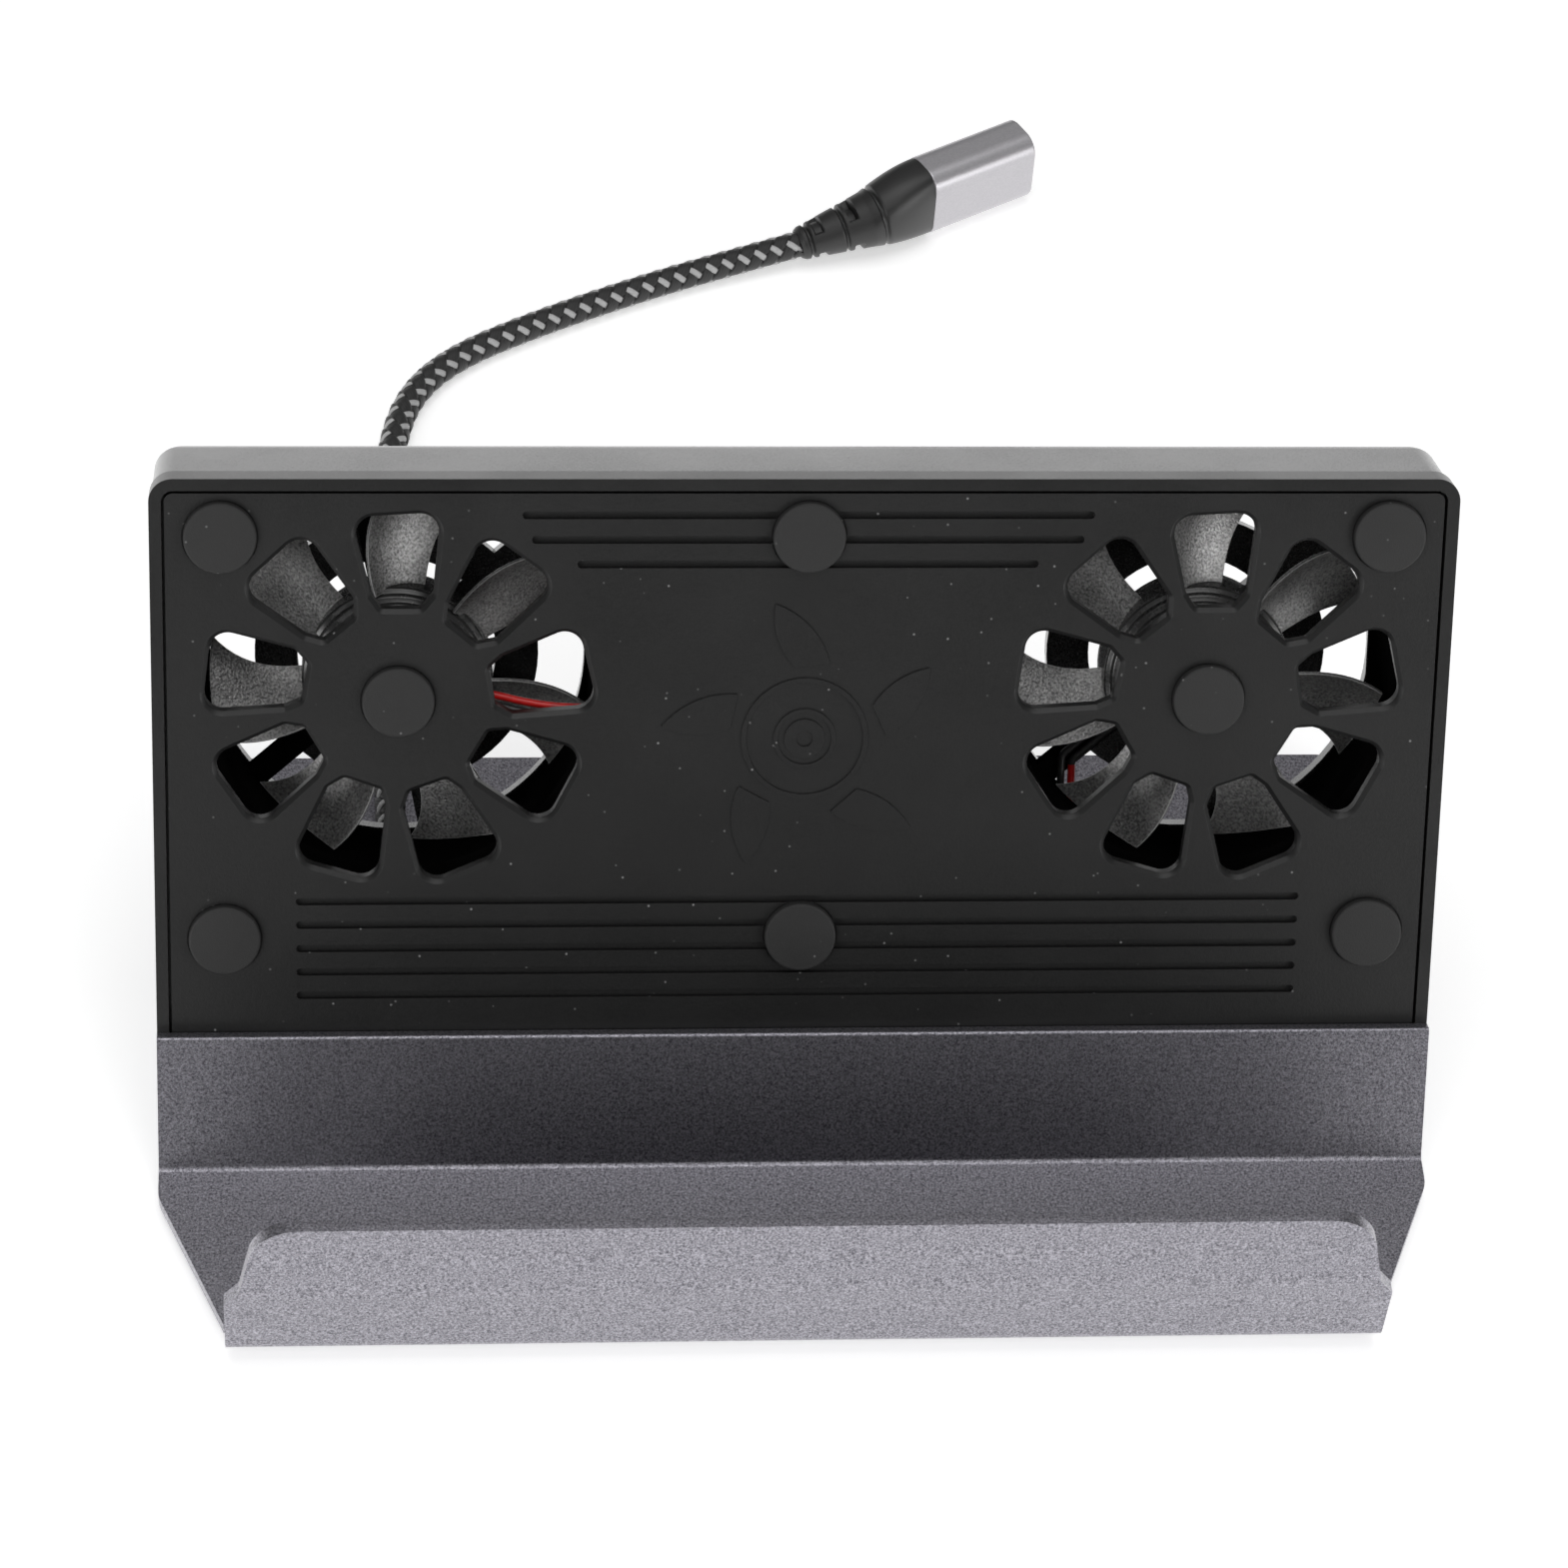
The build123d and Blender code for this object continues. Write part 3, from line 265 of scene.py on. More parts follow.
metalLooks = {
    "plugSilver": {
        "dark": (0.40, 0.39, 0.41, 1), "light": (0.47, 0.46, 0.48, 1),
        "metallic": 0.6, "rough": 0.36, "grain": 0.3,
    },
    "tipSteel": {
        "dark": (0.42, 0.42, 0.43, 1), "light": (0.55, 0.55, 0.56, 1),
        "metallic": 1.0, "rough": 0.3, "grain": 0.4,
    },
    "socketSteel": {
        "dark": (0.45, 0.45, 0.46, 1), "light": (0.62, 0.62, 0.62, 1),
        "metallic": 1.0, "rough": 0.32, "grain": 1.0,
    },
    "screwSteel": {
        "dark": (0.10, 0.10, 0.10, 1), "light": (0.2, 0.2, 0.2, 1),
        "metallic": 1.0, "rough": 0.35, "grain": 0.5,
    },
    "coreSteel": {
        "dark": (0.28, 0.28, 0.29, 1), "light": (0.42, 0.42, 0.43, 1),
        "metallic": 1.0, "rough": 0.4, "grain": 0.6,
    },
    "shaftSteel": {
        "dark": (0.5, 0.5, 0.5, 1), "light": (0.7, 0.7, 0.7, 1),
        "metallic": 1.0, "rough": 0.2, "grain": 1.0,
    },
    "bearingBronze": {
        "dark": (0.4, 0.26, 0.12, 1), "light": (0.55, 0.38, 0.2, 1),
        "metallic": 1.0, "rough": 0.4, "grain": 0.3,
    },
    "coilCopper": {
        "dark": (0.45, 0.16, 0.06, 1), "light": (0.7, 0.3, 0.12, 1),
        "metallic": 1.0, "rough": 0.35, "grain": 0.25,
    },
    "magnetGrey": {
        "dark": (0.04, 0.04, 0.042, 1), "light": (0.07, 0.07, 0.072, 1),
        "metallic": 0.3, "rough": 0.6, "grain": 0.3,
    },
}


def metal(look):
    def build(graph, position):
        mottle = graph.grain(position, look["grain"], 3.0, 0.6).between(0.3, 0.7)
        return graph.principled(
            {
                "Base Color": graph.mixColour(mottle, look["dark"], look["light"]),
                "Metallic": look["metallic"],
                "Roughness": mottle * 0.1 + (look["rough"] - 0.05),
                "Normal": graph.bump(mottle, 0.3, 0.008),
            }
        )

    return build


plainLooks = {
    "wireRed": {"dark": (0.42, 0.006, 0.006, 1), "light": (0.62, 0.012, 0.01, 1), "rough": 0.32},
    "boardGreen": {"dark": (0.006, 0.05, 0.02, 1), "light": (0.012, 0.09, 0.036, 1), "rough": 0.35},
    "spacerNylon": {"dark": (0.6, 0.6, 0.57, 1), "light": (0.7, 0.7, 0.67, 1), "rough": 0.5},
}


def plainPlastic(look):
    def build(graph, position):
        cloud = graph.grain(position, 1.5, 3.0).between(0.3, 0.7)
        return graph.principled(
            {
                "Base Color": graph.mixColour(cloud, look["dark"], look["light"]),
                "Roughness": cloud * 0.08 + look["rough"],
                "Normal": graph.bump(cloud, 0.2, 0.01),
            }
        )

    return build


braidLooks = {
    "braidBlack": {"dark": 0.004, "light": 0.016, "rough": 0.6, "threads": 5},
    "braidGrey": {"dark": 0.3, "light": 0.6, "rough": 0.5, "threads": 5},
}


def braidYarn(look):
    def build(graph, position):
        settings = {"attribute_name": "threadAcross"}
        across = graph.add("ShaderNodeAttribute", settings, out="Fac")
        threads = graph.maths("COSINE", across * (look["threads"] * fullTurn)) * 0.5 + 0.5
        # the colour follows this height: the grooves between threads are painted shade and the
        # crowns painted light, over a grain of real random tone
        height = threads * 0.7 + graph.grain(position, 0.3, 3.0, 0.7) * 0.3
        return graph.principled(
            {
                "Base Color": graph.mixColour(height, grey(look["dark"]), grey(look["light"])),
                "Roughness": look["rough"],
                "Sheen Weight": 0.1,
                "Normal": graph.bump(height, 0.7, 0.05),
            }
        )

    return build


materials = {
    "blastedSheet": makeMaterial("blastedSheet", blastedSheet),
    "cutSheetEdge": makeMaterial("cutSheetEdge", cutSheetEdge),
}
families = (
    (blackLooks, blackPlastic),
    (metalLooks, metal),
    (plainLooks, plainPlastic),
    (braidLooks, braidYarn),
)
for looks, kind in families:
    for name, look in looks.items():
        materials[name] = makeMaterial(name, kind(look))
print("materials", len(materials))

# For every mesh: metres that merge two points, and degrees that count as flat or as sharp
meshFacts = {
    "weld": 1e-6,
    "flat": 0.4,
    "sharp": 32.0,
    "sharpSmall": 35.0,
    "sharpSwept": 38.0,
    "bevelSteps": 2,
    "curveOrder": 3,
    "curveSteps": 24,
}


def objectFrom(name, mesh):
    made = bpy.data.objects.new(name, mesh)
    scene.collection.objects.link(made)
    return made


def meshObject(name, points, faces, finishes):  # points in mm
    mesh = bpy.data.meshes.new(name)
    mesh.from_pydata([[value * mm for value in point] for point in points], [], faces)
    for finish in finishes:
        mesh.materials.append(materials[finish])
    mesh.update()
    return objectFrom(name, mesh)


def mend(mesh, weld=False, flatten=False, outward=False):
    # merges doubles, joins the triangles of a flat face, turns the faces outwards
    shape = bmesh.new()
    shape.from_mesh(mesh)
    if weld:
        bmesh.ops.remove_doubles(shape, verts=shape.verts, dist=meshFacts["weld"])
    if flatten:
        limit = math.radians(meshFacts["flat"])
        whole = {"verts": shape.verts, "edges": shape.edges}
        bmesh.ops.dissolve_limit(shape, angle_limit=limit, delimit={"NORMAL"}, **whole)
    if outward:
        bmesh.ops.recalc_face_normals(shape, faces=shape.faces)
    shape.to_mesh(mesh)
    shape.free()


def smooth(mesh, sharp):  # smooth but for the edges past that many degrees
    mesh.shade_smooth()
    mesh.set_sharp_from_angle(angle=math.radians(sharp))


def evaluated(made):  # a plain mesh of the object as its modifiers leave it
    graph = bpy.context.evaluated_depsgraph_get()
    graph.update()
    return bpy.data.meshes.new_from_object(made.evaluated_get(graph))


def baked(made):
    mesh = evaluated(made)
    made.modifiers.clear()
    made.data = mesh
    return made


def assign(made, body, slot, *replaced):
    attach(made, body)
    if replaced:
        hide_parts(*replaced)
    return made


def softEdges(made, width, edgeMaterial=-1, sharp=meshFacts["sharp"]):
    bevel = made.modifiers.new("edges", "BEVEL")
    bevel.width = width * mm
    bevel.segments = meshFacts["bevelSteps"]
    bevel.limit_method = "ANGLE"
    bevel.angle_limit = math.radians(sharp)
    bevel.material = edgeMaterial
    bevel.miter_outer = "MITER_ARC"
    baked(made)
    smooth(made.data, sharp)
    normals = made.modifiers.new("normals", "WEIGHTED_NORMAL")
    normals.keep_sharp = True
    return baked(made)


def dressed(node, name, slot, finishes, edge=0.0, edgeMaterial=-1, sharp=meshFacts["sharp"]):
    mesh = nodes[node].data.copy()
    mesh.name = name
    mend(mesh, weld=True, flatten=True)
    mesh.materials.clear()
    for finish in finishes:
        mesh.materials.append(materials[finish])
    made = objectFrom(name, mesh)
    if edge:
        softEdges(made, edge, edgeMaterial, sharp)
    else:
        smooth(mesh, sharp)
    return assign(made, "stand", slot, node)


# Camera, fitted to the photograph
cameraFit = {
    "place": (-0.06245, -0.50125, 0.62119),
    "right": (0.99694, -0.05513, 0.05551),
    "up": (0.00419, 0.74608, 0.66584),
    "lens": 126.2,
    "sensor": 36.0,
    "nearest": 0.01,
}
camera = objectFrom("camera", bpy.data.cameras.new("camera"))
cameraRight, cameraUp = (Vector(cameraFit[name]).normalized() for name in ("right", "up"))
axes = Matrix((cameraRight, cameraUp, cameraRight.cross(cameraUp))).transposed().to_4x4()
camera.matrix_world = Matrix.Translation(cameraFit["place"]) @ axes
camera.data.lens = cameraFit["lens"]
camera.data.sensor_width = cameraFit["sensor"]
camera.data.clip_start = cameraFit["nearest"]
scene.camera = camera
print("camera")

# Cord: one smooth line, then a braid of four grey and four black yarns round a core
cordFacts = {
    "route": (
        (-57.0, 31.95, 11.0),
        (-57.0, 43.0, 11.0),
        (-57.4, 62.5, 10.2),
        (-58.0, 84.0, 2.5),
        (-57.8, 104.0, 2.3),
        (-56.4, 122.0, 2.3),
        (-53.4, 134.5, 2.3),
        (-45.8, 143.6, 2.3),
        (-31.0, 152.2, 2.3),
        (-13.0, 160.8, 2.3),
        (0.5, 166.0, 2.6),
        (11.4, 169.3, 3.6),
    ),
    "length": 178.0,
    "diameter": 4.4,
    "radius": 2.3,  # of the braid where a yarn lies on top
    "yarns": 4,  # of each colour
    "lead": 11.6,
    "lift": 0.15,
    "step": 0.3,
    "greyWidth": 1.0,
    "blackWidth": 2.2,
    "start": 45.0,  # degrees that the rows of grey are turned round the cord
    "thickness": 0.42,
    "yarnSides": 8,
    "coreSides": 16,
}


def smoothLine(name, points):  # a mesh of points along a smooth curve; points in mm
    curve = bpy.data.curves.new(name, "CURVE")
    curve.dimensions = "3D"
    line = curve.splines.new("NURBS")
    line.points.add(len(points) - 1)
    for point, spot in zip(line.points, points):
        point.co = (*[value * mm for value in spot], 1.0)
    line.order_u = meshFacts["curveOrder"]
    line.use_endpoint_u = True
    line.resolution_u = meshFacts["curveSteps"]
    drawn = objectFrom(name, curve)
    mesh = evaluated(drawn)
    bpy.data.objects.remove(drawn)
    return mesh


def treeOf(name, inputs):  # a geometry tree with named inputs
    tree = bpy.data.node_groups.new(name, "GeometryNodeTree")
    tree.interface.new_socket("Geometry", in_out="INPUT", socket_type="NodeSocketGeometry")
    for label, kind in inputs.items():
        tree.interface.new_socket(label, in_out="INPUT", socket_type="NodeSocket" + kind)
    tree.interface.new_socket("Geometry", in_out="OUTPUT", socket_type="NodeSocketGeometry")
    return Graph(tree)


def applyTree(made, graph, values):
    modifier = made.modifiers.new(graph.tree.name, "NODES")
    modifier.node_group = graph.tree
    for item in graph.tree.interface.items_tree:
        if item.in_out == "INPUT" and item.name in values:
            modifier[item.identifier] = values[item.name]
    return baked(made)


def braidTree():
    labels = {"Yarns": "Int", "Grey": "Material", "Black": "Material"}
    sizes = ("Radius", "Lead", "Lift", "Step", "Thickness", "Grey Width", "Black Width", "Start")
    graph = treeOf("cordBraid", {**labels, **{size: "Float" for size in sizes}})
    given = graph.add("NodeGroupInput")
    line = graph.add("GeometryNodeMeshToCurve", None, {"Mesh": given.at("Geometry")})
    inputs = {"Curve": line, "Length": given.at("Step")}
    line = graph.add("GeometryNodeResampleCurve", {"mode": "LENGTH"}, inputs)
    middle = given.at("Radius") - given.at("Thickness") * 0.5 - given.at("Lift")
    pieces = []
    for sign, colour in ((1, "Grey"), (-1, "Black")):
        inputs = {"Geometry": line, "Amount": given.at("Yarns")}
        copies = graph.add("GeometryNodeDuplicateElements", {"domain": "SPLINE"}, inputs)

        # where each yarn runs: round the cord, and over and under the others
        turns = graph.add("GeometryNodeSplineParameter", out="Length") / given.at("Lead")
        share = turns * sign + copies.at("Duplicate Index") / given.at("Yarns")
        angle = share * fullTurn + given.at("Start")
        wave = graph.maths("COSINE", turns * given.at("Yarns") * fullTurn)
        reach = middle + wave * given.at("Lift") * sign
        normal = graph.add("GeometryNodeInputNormal")
        side = graph.vectors("CROSS_PRODUCT", {0: graph.add("GeometryNodeInputTangent"), 1: normal})
        first = graph.vectors("SCALE", {0: normal, "Scale": graph.maths("COSINE", angle)})
        second = graph.vectors("SCALE", {0: side, "Scale": graph.maths("SINE", angle)})
        radial = graph.vectors("ADD", {0: first, 1: second})
        kept = graph.add("GeometryNodeCaptureAttribute", None, {"Geometry": copies})
        capture = kept.socket.node
        capture.capture_items.new("VECTOR", "radial")
        graph.tree.links.new(radial.socket, capture.inputs["radial"])
        offset = graph.vectors("SCALE", {0: kept.at("radial"), "Scale": reach})
        moved = graph.add("GeometryNodeSetPosition", None, {"Geometry": kept, "Offset": offset})
        inputs = {"Curve": moved, "Normal": kept.at("radial")}
        turned = graph.add("GeometryNodeSetCurveNormal", {"mode": "FREE"}, inputs)

        # its flat section, which keeps how far across the yarn each point is
        inputs = {"Resolution": cordFacts["yarnSides"], "Radius": 1.0}
        section = graph.add("GeometryNodeCurvePrimitiveCircle", None, inputs)
        spot = graph.add("ShaderNodeSeparateXYZ", None, {0: graph.add("GeometryNodeInputPosition")})
        settings = {"data_type": "FLOAT", "domain": "POINT"}
        inputs = {"Geometry": section, "Name": "threadAcross", "Value": spot.at("Y") * 0.5 + 0.5}
        named = graph.add("GeometryNodeStoreNamedAttribute", settings, inputs)
        half = {"X": given.at("Thickness") * 0.5, "Y": given.at(colour + " Width") * 0.5, "Z": 1.0}
        inputs = {"Geometry": named, "Scale": graph.add("ShaderNodeCombineXYZ", None, half)}
        shaped = graph.add("GeometryNodeTransform", None, inputs)
        inputs = {"Curve": turned, "Profile Curve": shaped, "Fill Caps": True}
        yarn = graph.add("GeometryNodeCurveToMesh", None, inputs)
        pieces.append(graph.finished(yarn, given.at(colour)))
    inputs = {"Resolution": cordFacts["coreSides"], "Radius": middle}
    core = graph.add("GeometryNodeCurvePrimitiveCircle", None, inputs)
    inputs = {"Curve": line, "Profile Curve": core, "Fill Caps": True}
    tube = graph.add("GeometryNodeCurveToMesh", None, inputs)
    pieces.append(graph.finished(tube, given.at("Black")))
    soft = graph.add("GeometryNodeSetShadeSmooth", None, {"Geometry": graph.joined(pieces)})
    real = graph.add("GeometryNodeRealizeInstances", None, {"Geometry": soft})
    graph.add("NodeGroupOutput", None, {"Geometry": real})
    return graph


def buildCord():
    mesh = smoothLine("usbCord", cordFacts["route"])
    path = [vertex.co.copy() for vertex in mesh.vertices]
    cord = objectFrom("usbCord", mesh)
    sizes = {
        "Radius": "radius",
        "Lead": "lead",
        "Lift": "lift",
        "Step": "step",
        "Thickness": "thickness",
        "Grey Width": "greyWidth",
        "Black Width": "blackWidth",
    }
    values = {label: cordFacts[fact] * mm for label, fact in sizes.items()}
    values["Yarns"] = cordFacts["yarns"]
    values["Start"] = math.radians(cordFacts["start"])
    values["Grey"] = materials["braidGrey"]
    values["Black"] = materials["braidBlack"]
    applyTree(cord, braidTree(), values)
    assign(cord, "stand", "cord_braid", "usb_cord")
    length = sum((after - before).length for before, after in zip(path, path[1:]))
    print("cord", round(length, 4), "triangles", len(cord.data.polygons) * 2)
    return cord, path


cord, cordPath = buildCord()


def along(values, share):  # a smooth line through the values at 0, half and 1
    low, middle, high = values
    straight = share * (4 * middle - 3 * low - high)
    return low + straight + share * share * 2 * (low + high - 2 * middle)


def ringFrames(path, upward):  # each point of a path, with the two directions across it
    frames = []
    for step, spot in enumerate(path):
        ahead = (path[min(step + 1, len(path) - 1)] - path[max(step - 1, 0)]).normalized()
        upward = (upward - ahead * upward.dot(ahead)).normalized()
        frames.append((spot, ahead.cross(upward), upward.copy()))
    return frames


def stripFaces(rows, count):  # the faces between neighbouring rings of count points
    faces = []
    for row in range(rows):
        low, high = row * count, (row + 1) * count
        for corner in range(count):
            after = (corner + 1) % count
            faces.append((low + corner, low + after, high + after, high + corner))
    return faces


def sweptRings(name, rings, finish):  # a skin over rings of points, closed at both ends
    count = len(rings[0])
    points = [point for ring in rings for point in ring]
    faces = [list(range(count)), list(range(len(points) - count, len(points)))]
    made = meshObject(name, points, faces + stripFaces(len(rings) - 1, count), [finish])
    mend(made.data, outward=True)
    smooth(made.data, meshFacts["sharpSwept"])
    return made


# Plug: a slotted relief and a boot, both rings along one line, and the silver shell with its tip
plugFacts = {
    "start": (11.4, 169.3, 3.6),
    "bend": (22.8, 173.2, 5.6),
    "shell": (32.1, 177.9, 6.8),
    "heading": 29.0,
    "relief": (2.75, 3.7, 4.7),  # radius at its start, middle and end
    "neck": (0.9, 0.6),  # share of that radius at the very start, and mm until it is whole
    "across": (4.7, 4.95, 4.4),  # the boot's half sizes and corner, in the same way
    "up": (4.7, 6.05, 6.6),
    "corner": (4.7, 4.4, 3.2),
    "squareness": 2.6,
    "grooves": (1.7, 7.6, 14.0),  # full rings, from the relief's start
    "grooveWidth": 0.6,
    "grooveDepth": 0.5,
    "grooveSoft": 0.25,
    "slots": (3.4, 9.4),
    "slotWidth": 1.5,
    "slotSoft": 0.2,
    "slotFloor": 2.6,
    "slotTurns": ((57, 145), (-135, -15)),  # degrees round, from across to up
    "slotTurnSoft": 6.0,
    "shellEdge": 0.3,
    "tipShift": (1.2, -1.3, -0.7),  # along the plug, out of its side, upwards
    "step": 0.15,
    "around": 88,
}


def inside(distance, half, soft):  # 1 within half of the middle, falling to 0
    return min(1.0, max(0.0, (half - abs(distance)) / soft + 0.5))


def plugDent(travel, radius, turn):
    depth = 0.0
    for groove in plugFacts["grooves"]:
        cut = inside(travel - groove, plugFacts["grooveWidth"] / 2, plugFacts["grooveSoft"])
        depth = max(depth, cut * plugFacts["grooveDepth"])
    for slot in plugFacts["slots"]:
        cut = inside(travel - slot, plugFacts["slotWidth"] / 2, plugFacts["slotSoft"])
        for low, high in plugFacts["slotTurns"]:
            share = inside(turn - (low + high) / 2, (high - low) / 2, plugFacts["slotTurnSoft"])
            depth = max(depth, cut * share * (radius - plugFacts["slotFloor"]))
    return depth


def plugLine():  # points in mm: straight through the relief, then bending into the shell
    start, bend, shell = (Vector(plugFacts[name]) for name in ("start", "bend", "shell"))
    run, rest = (bend - start).length, (shell - bend).length
    first = (bend - start) / run * rest / 3
    heading = math.radians(plugFacts["heading"])
    last = Vector((math.cos(heading), math.sin(heading), 0)) * rest / 3
    line = []
    for number in range(int((run + rest) / plugFacts["step"]) + 1):
        travel = number * plugFacts["step"]
        if travel < run:
            line.append((travel, start.lerp(bend, travel / run)))
        else:
            share = min(1.0, (travel - run) / rest)
            left = 1 - share
            spot = bend * left**3 + (bend + first) * 3 * left**2 * share
            line.append((travel, spot + (shell - last) * 3 * left * share**2 + shell * share**3))
    line.append((run + rest, shell))
    return line, run


def plugRing(middle, across, upward, sizes, travel):  # a rounded square with its dents
    width, height, corner = sizes
    ring = []
    for spoke in range(plugFacts["around"]):
        turn = fullTurn * spoke / plugFacts["around"]
        degrees = (math.degrees(turn) + 180) % 360 - 180
        reach = corner - plugDent(travel, width, degrees)
        cosine, sine = math.cos(turn), math.sin(turn)
        side = (width - corner) * math.tanh(plugFacts["squareness"] * cosine) + reach * cosine
        rise = (height - corner) * math.tanh(plugFacts["squareness"] * sine) + reach * sine
        ring.append(middle + across * side + upward * rise)
    return ring


def buildPlugEnd():
    line, run = plugLine()
    total = line[-1][0]
    share, length = plugFacts["neck"]
    rings = []
    frames = ringFrames([spot for travel, spot in line], Vector((0, 0, 1)))
    for (travel, spot), (middle, across, upward) in zip(line, frames):
        if travel < run:
            whole = min(1.0, share + (1 - share) * travel / length)
            sizes = [along(plugFacts["relief"], travel / run) * whole] * 3
        else:
            done = (travel - run) / (total - run)
            sizes = [along(plugFacts[name], done) for name in ("across", "up", "corner")]
        rings.append(plugRing(middle, across, upward, sizes, travel))
    split = next(row for row, (travel, spot) in enumerate(line) if travel >= run)
    relief = sweptRings("plugRelief", rings[: split + 1], "reliefBlack")
    boot = sweptRings("plugBoot", rings[split:], "bootBlack")
    tip = dressed("plug_tip", "plugTip", "plug_tip_steel", ["tipSteel"])
    turn = Matrix.Rotation(math.radians(plugFacts["heading"]), 4, "Z")
    tip.data.transform(Matrix.Translation(turn @ Vector(plugFacts["tipShift"]) * mm))
    edge = plugFacts["shellEdge"]
    return [
        assign(relief, "stand", "relief_rubber", "plug_relief"),
        assign(boot, "stand", "boot_plastic", "plug_boot"),
        dressed("plug_shell", "plugShell", "plug_metal", ["plugSilver"], edge),
        tip,
    ]


# Stand, with every rounding in mm
sheetFacts = {"finishes": ["blastedSheet", "cutSheetEdge"], "edge": 0.3}
footFacts = {"count": 4, "edge": 0.2}
for node, name in (("front_tray", "frontTray"), ("base_plate", "basePlate")):
    dressed(node, name, "metal_sheet", sheetFacts["finishes"], sheetFacts["edge"], 1)
for number in range(1, footFacts["count"] + 1):
    name = "foot%d" % number
    dressed("rubber_foot_%d" % number, name, "rubber", ["footRubber"], footFacts["edge"])
print("stand")

# Housing, panel and pads
housingFacts = {"shellEdge": 0.25, "rimEdge": 0.3, "panelEdge": 0.12, "sharp": 40}
padFacts = {"count": 8, "sharp": 50}
housingPieces = (
    ("rear_shell", "rearShell", "housing_plastic", "housingBlack", "shellEdge"),
    ("bezel_frame", "bezelFrame", "housing_plastic", "rimBlack", "rimEdge"),
    ("front_panel", "frontPanel", "panel_plastic", "panelBlack", "panelEdge"),
)
for node, name, slot, finish, edge in housingPieces:
    dressed(node, name, slot, [finish], housingFacts[edge], sharp=housingFacts["sharp"])
for number in range(1, padFacts["count"] + 1):
    name = "pad%d" % number
    dressed("rubber_pad_%d" % number, name, "rubber", ["padRubber"], sharp=padFacts["sharp"])
print("housing")

# Fans: a stepped hub, and one swept blade repeated round it
rotorFacts = {
    "count": 7,
    "root": 12.7,
    "tip": 26.2,
    "front": -8.4,
    "back": (-13.5, -14.5, -17.2),  # from root to tip, as the next two are
    "near": (14.5, 12.5, 6.0),  # degrees left of the blade's middle line
    "far": (17.0, 15.5, 22.0),  # degrees right of it
    "camber": 1.2,
    "thickness": 1.1,
    "rows": 12,
    "steps": 12,
    "bladeEdge": 0.12,
    "bladeSharp": 50,
    "hub": (  # radius and height round its outline
        (0.0, -7.6), (9.7, -7.6), (10.1, -7.9), (10.4, -8.3), (11.2, -8.3), (11.4, -8.5),
        (11.5, -9.0), (12.2, -9.1), (12.4, -9.3), (12.5, -9.9), (13.1, -10.0), (13.3, -10.3),
        (13.3, -17.6), (12.0, -17.6), (12.0, -9.4), (0.0, -9.4),
    ),
    "hubSteps": 96,
    "hubEdge": 0.1,
    "hubSharp": 30,
}
fanFrameFacts = {"edge": 0.3, "sharp": 40}


def ringTree():
    graph = treeOf("ringOfCopies", {"Count": "Int", "Start": "Float", "Finish": "Material"})
    given = graph.add("NodeGroupInput")
    points = graph.add("GeometryNodePoints", None, {"Count": given.at("Count")})
    share = graph.add("GeometryNodeInputIndex") / given.at("Count")
    turn = graph.add("ShaderNodeCombineXYZ", None, {"Z": share * fullTurn + given.at("Start")})
    inputs = {"Points": points, "Instance": given.at("Geometry"), "Rotation": turn}
    copies = graph.add("GeometryNodeInstanceOnPoints", None, inputs)
    real = graph.add("GeometryNodeRealizeInstances", None, {"Geometry": copies})
    first = graph.maths("LESS_THAN", graph.add("GeometryNodeInputMaterialIndex"), 0.5)
    inputs = {"Geometry": real, "Selection": first, "Material": given.at("Finish")}
    finished = graph.add("GeometryNodeSetMaterial", None, inputs)
    graph.add("NodeGroupOutput", None, {"Geometry": finished})
    return graph


def turned(name, profile, steps, finish):  # a closed profile of (radius, z) turned round z
    points, faces = [], []
    for step in range(steps):
        angle = fullTurn * step / steps
        points += [(radius * math.cos(angle), radius * math.sin(angle), z) for radius, z in profile]
    count = len(profile)
    for step in range(steps):
        near, far = step * count, (step + 1) % steps * count
        for corner in range(count):
            after = (corner + 1) % count
            faces.append((near + corner, far + corner, far + after, near + after))
    made = meshObject(name, points, faces, [finish])
    mend(made.data, weld=True, outward=True)
    return made


def merged(name, pieces, matrix):  # one object of several, their materials side by side
    shape = bmesh.new()
    finishes = []
    for piece in pieces:
        for material in piece.data.materials:
            if material not in finishes:
                finishes.append(material)
    for piece in pieces:
        order = [finishes.index(material) for material in piece.data.materials]
        start = len(shape.faces)
        shape.from_mesh(piece.data)
        shape.faces.ensure_lookup_table()
        for face in shape.faces[start:]:
            face.material_index = order[face.material_index]
        bpy.data.objects.remove(piece)
    mesh = bpy.data.meshes.new(name)
    shape.to_mesh(mesh)
    shape.free()
    for material in finishes:
        mesh.materials.append(material)
    mesh.transform(matrix)
    return objectFrom(name, mesh)


def bladePoint(share, chord, offset):
    radius = rotorFacts["root"] + share * (rotorFacts["tip"] - rotorFacts["root"])
    near, far = along(rotorFacts["near"], share), along(rotorFacts["far"], share)
    turn = math.radians(90 + (near - far) / 2)
    half = radius * math.radians((near + far) / 2)
    depth = along(rotorFacts["back"], share) - rotorFacts["front"]
    square = Vector((-depth, -2 * half)).normalized() * -1
    belly = 4 * chord * (1 - chord)
    thick = rotorFacts["thickness"] / 4 * (1 + belly)
    shift = square * (offset * thick - rotorFacts["camber"] * belly)
    turn += (half * (1 - 2 * chord) + shift.x) / radius
    height = rotorFacts["front"] + depth * chord + shift.y
    return (radius * math.cos(turn), radius * math.sin(turn), height)


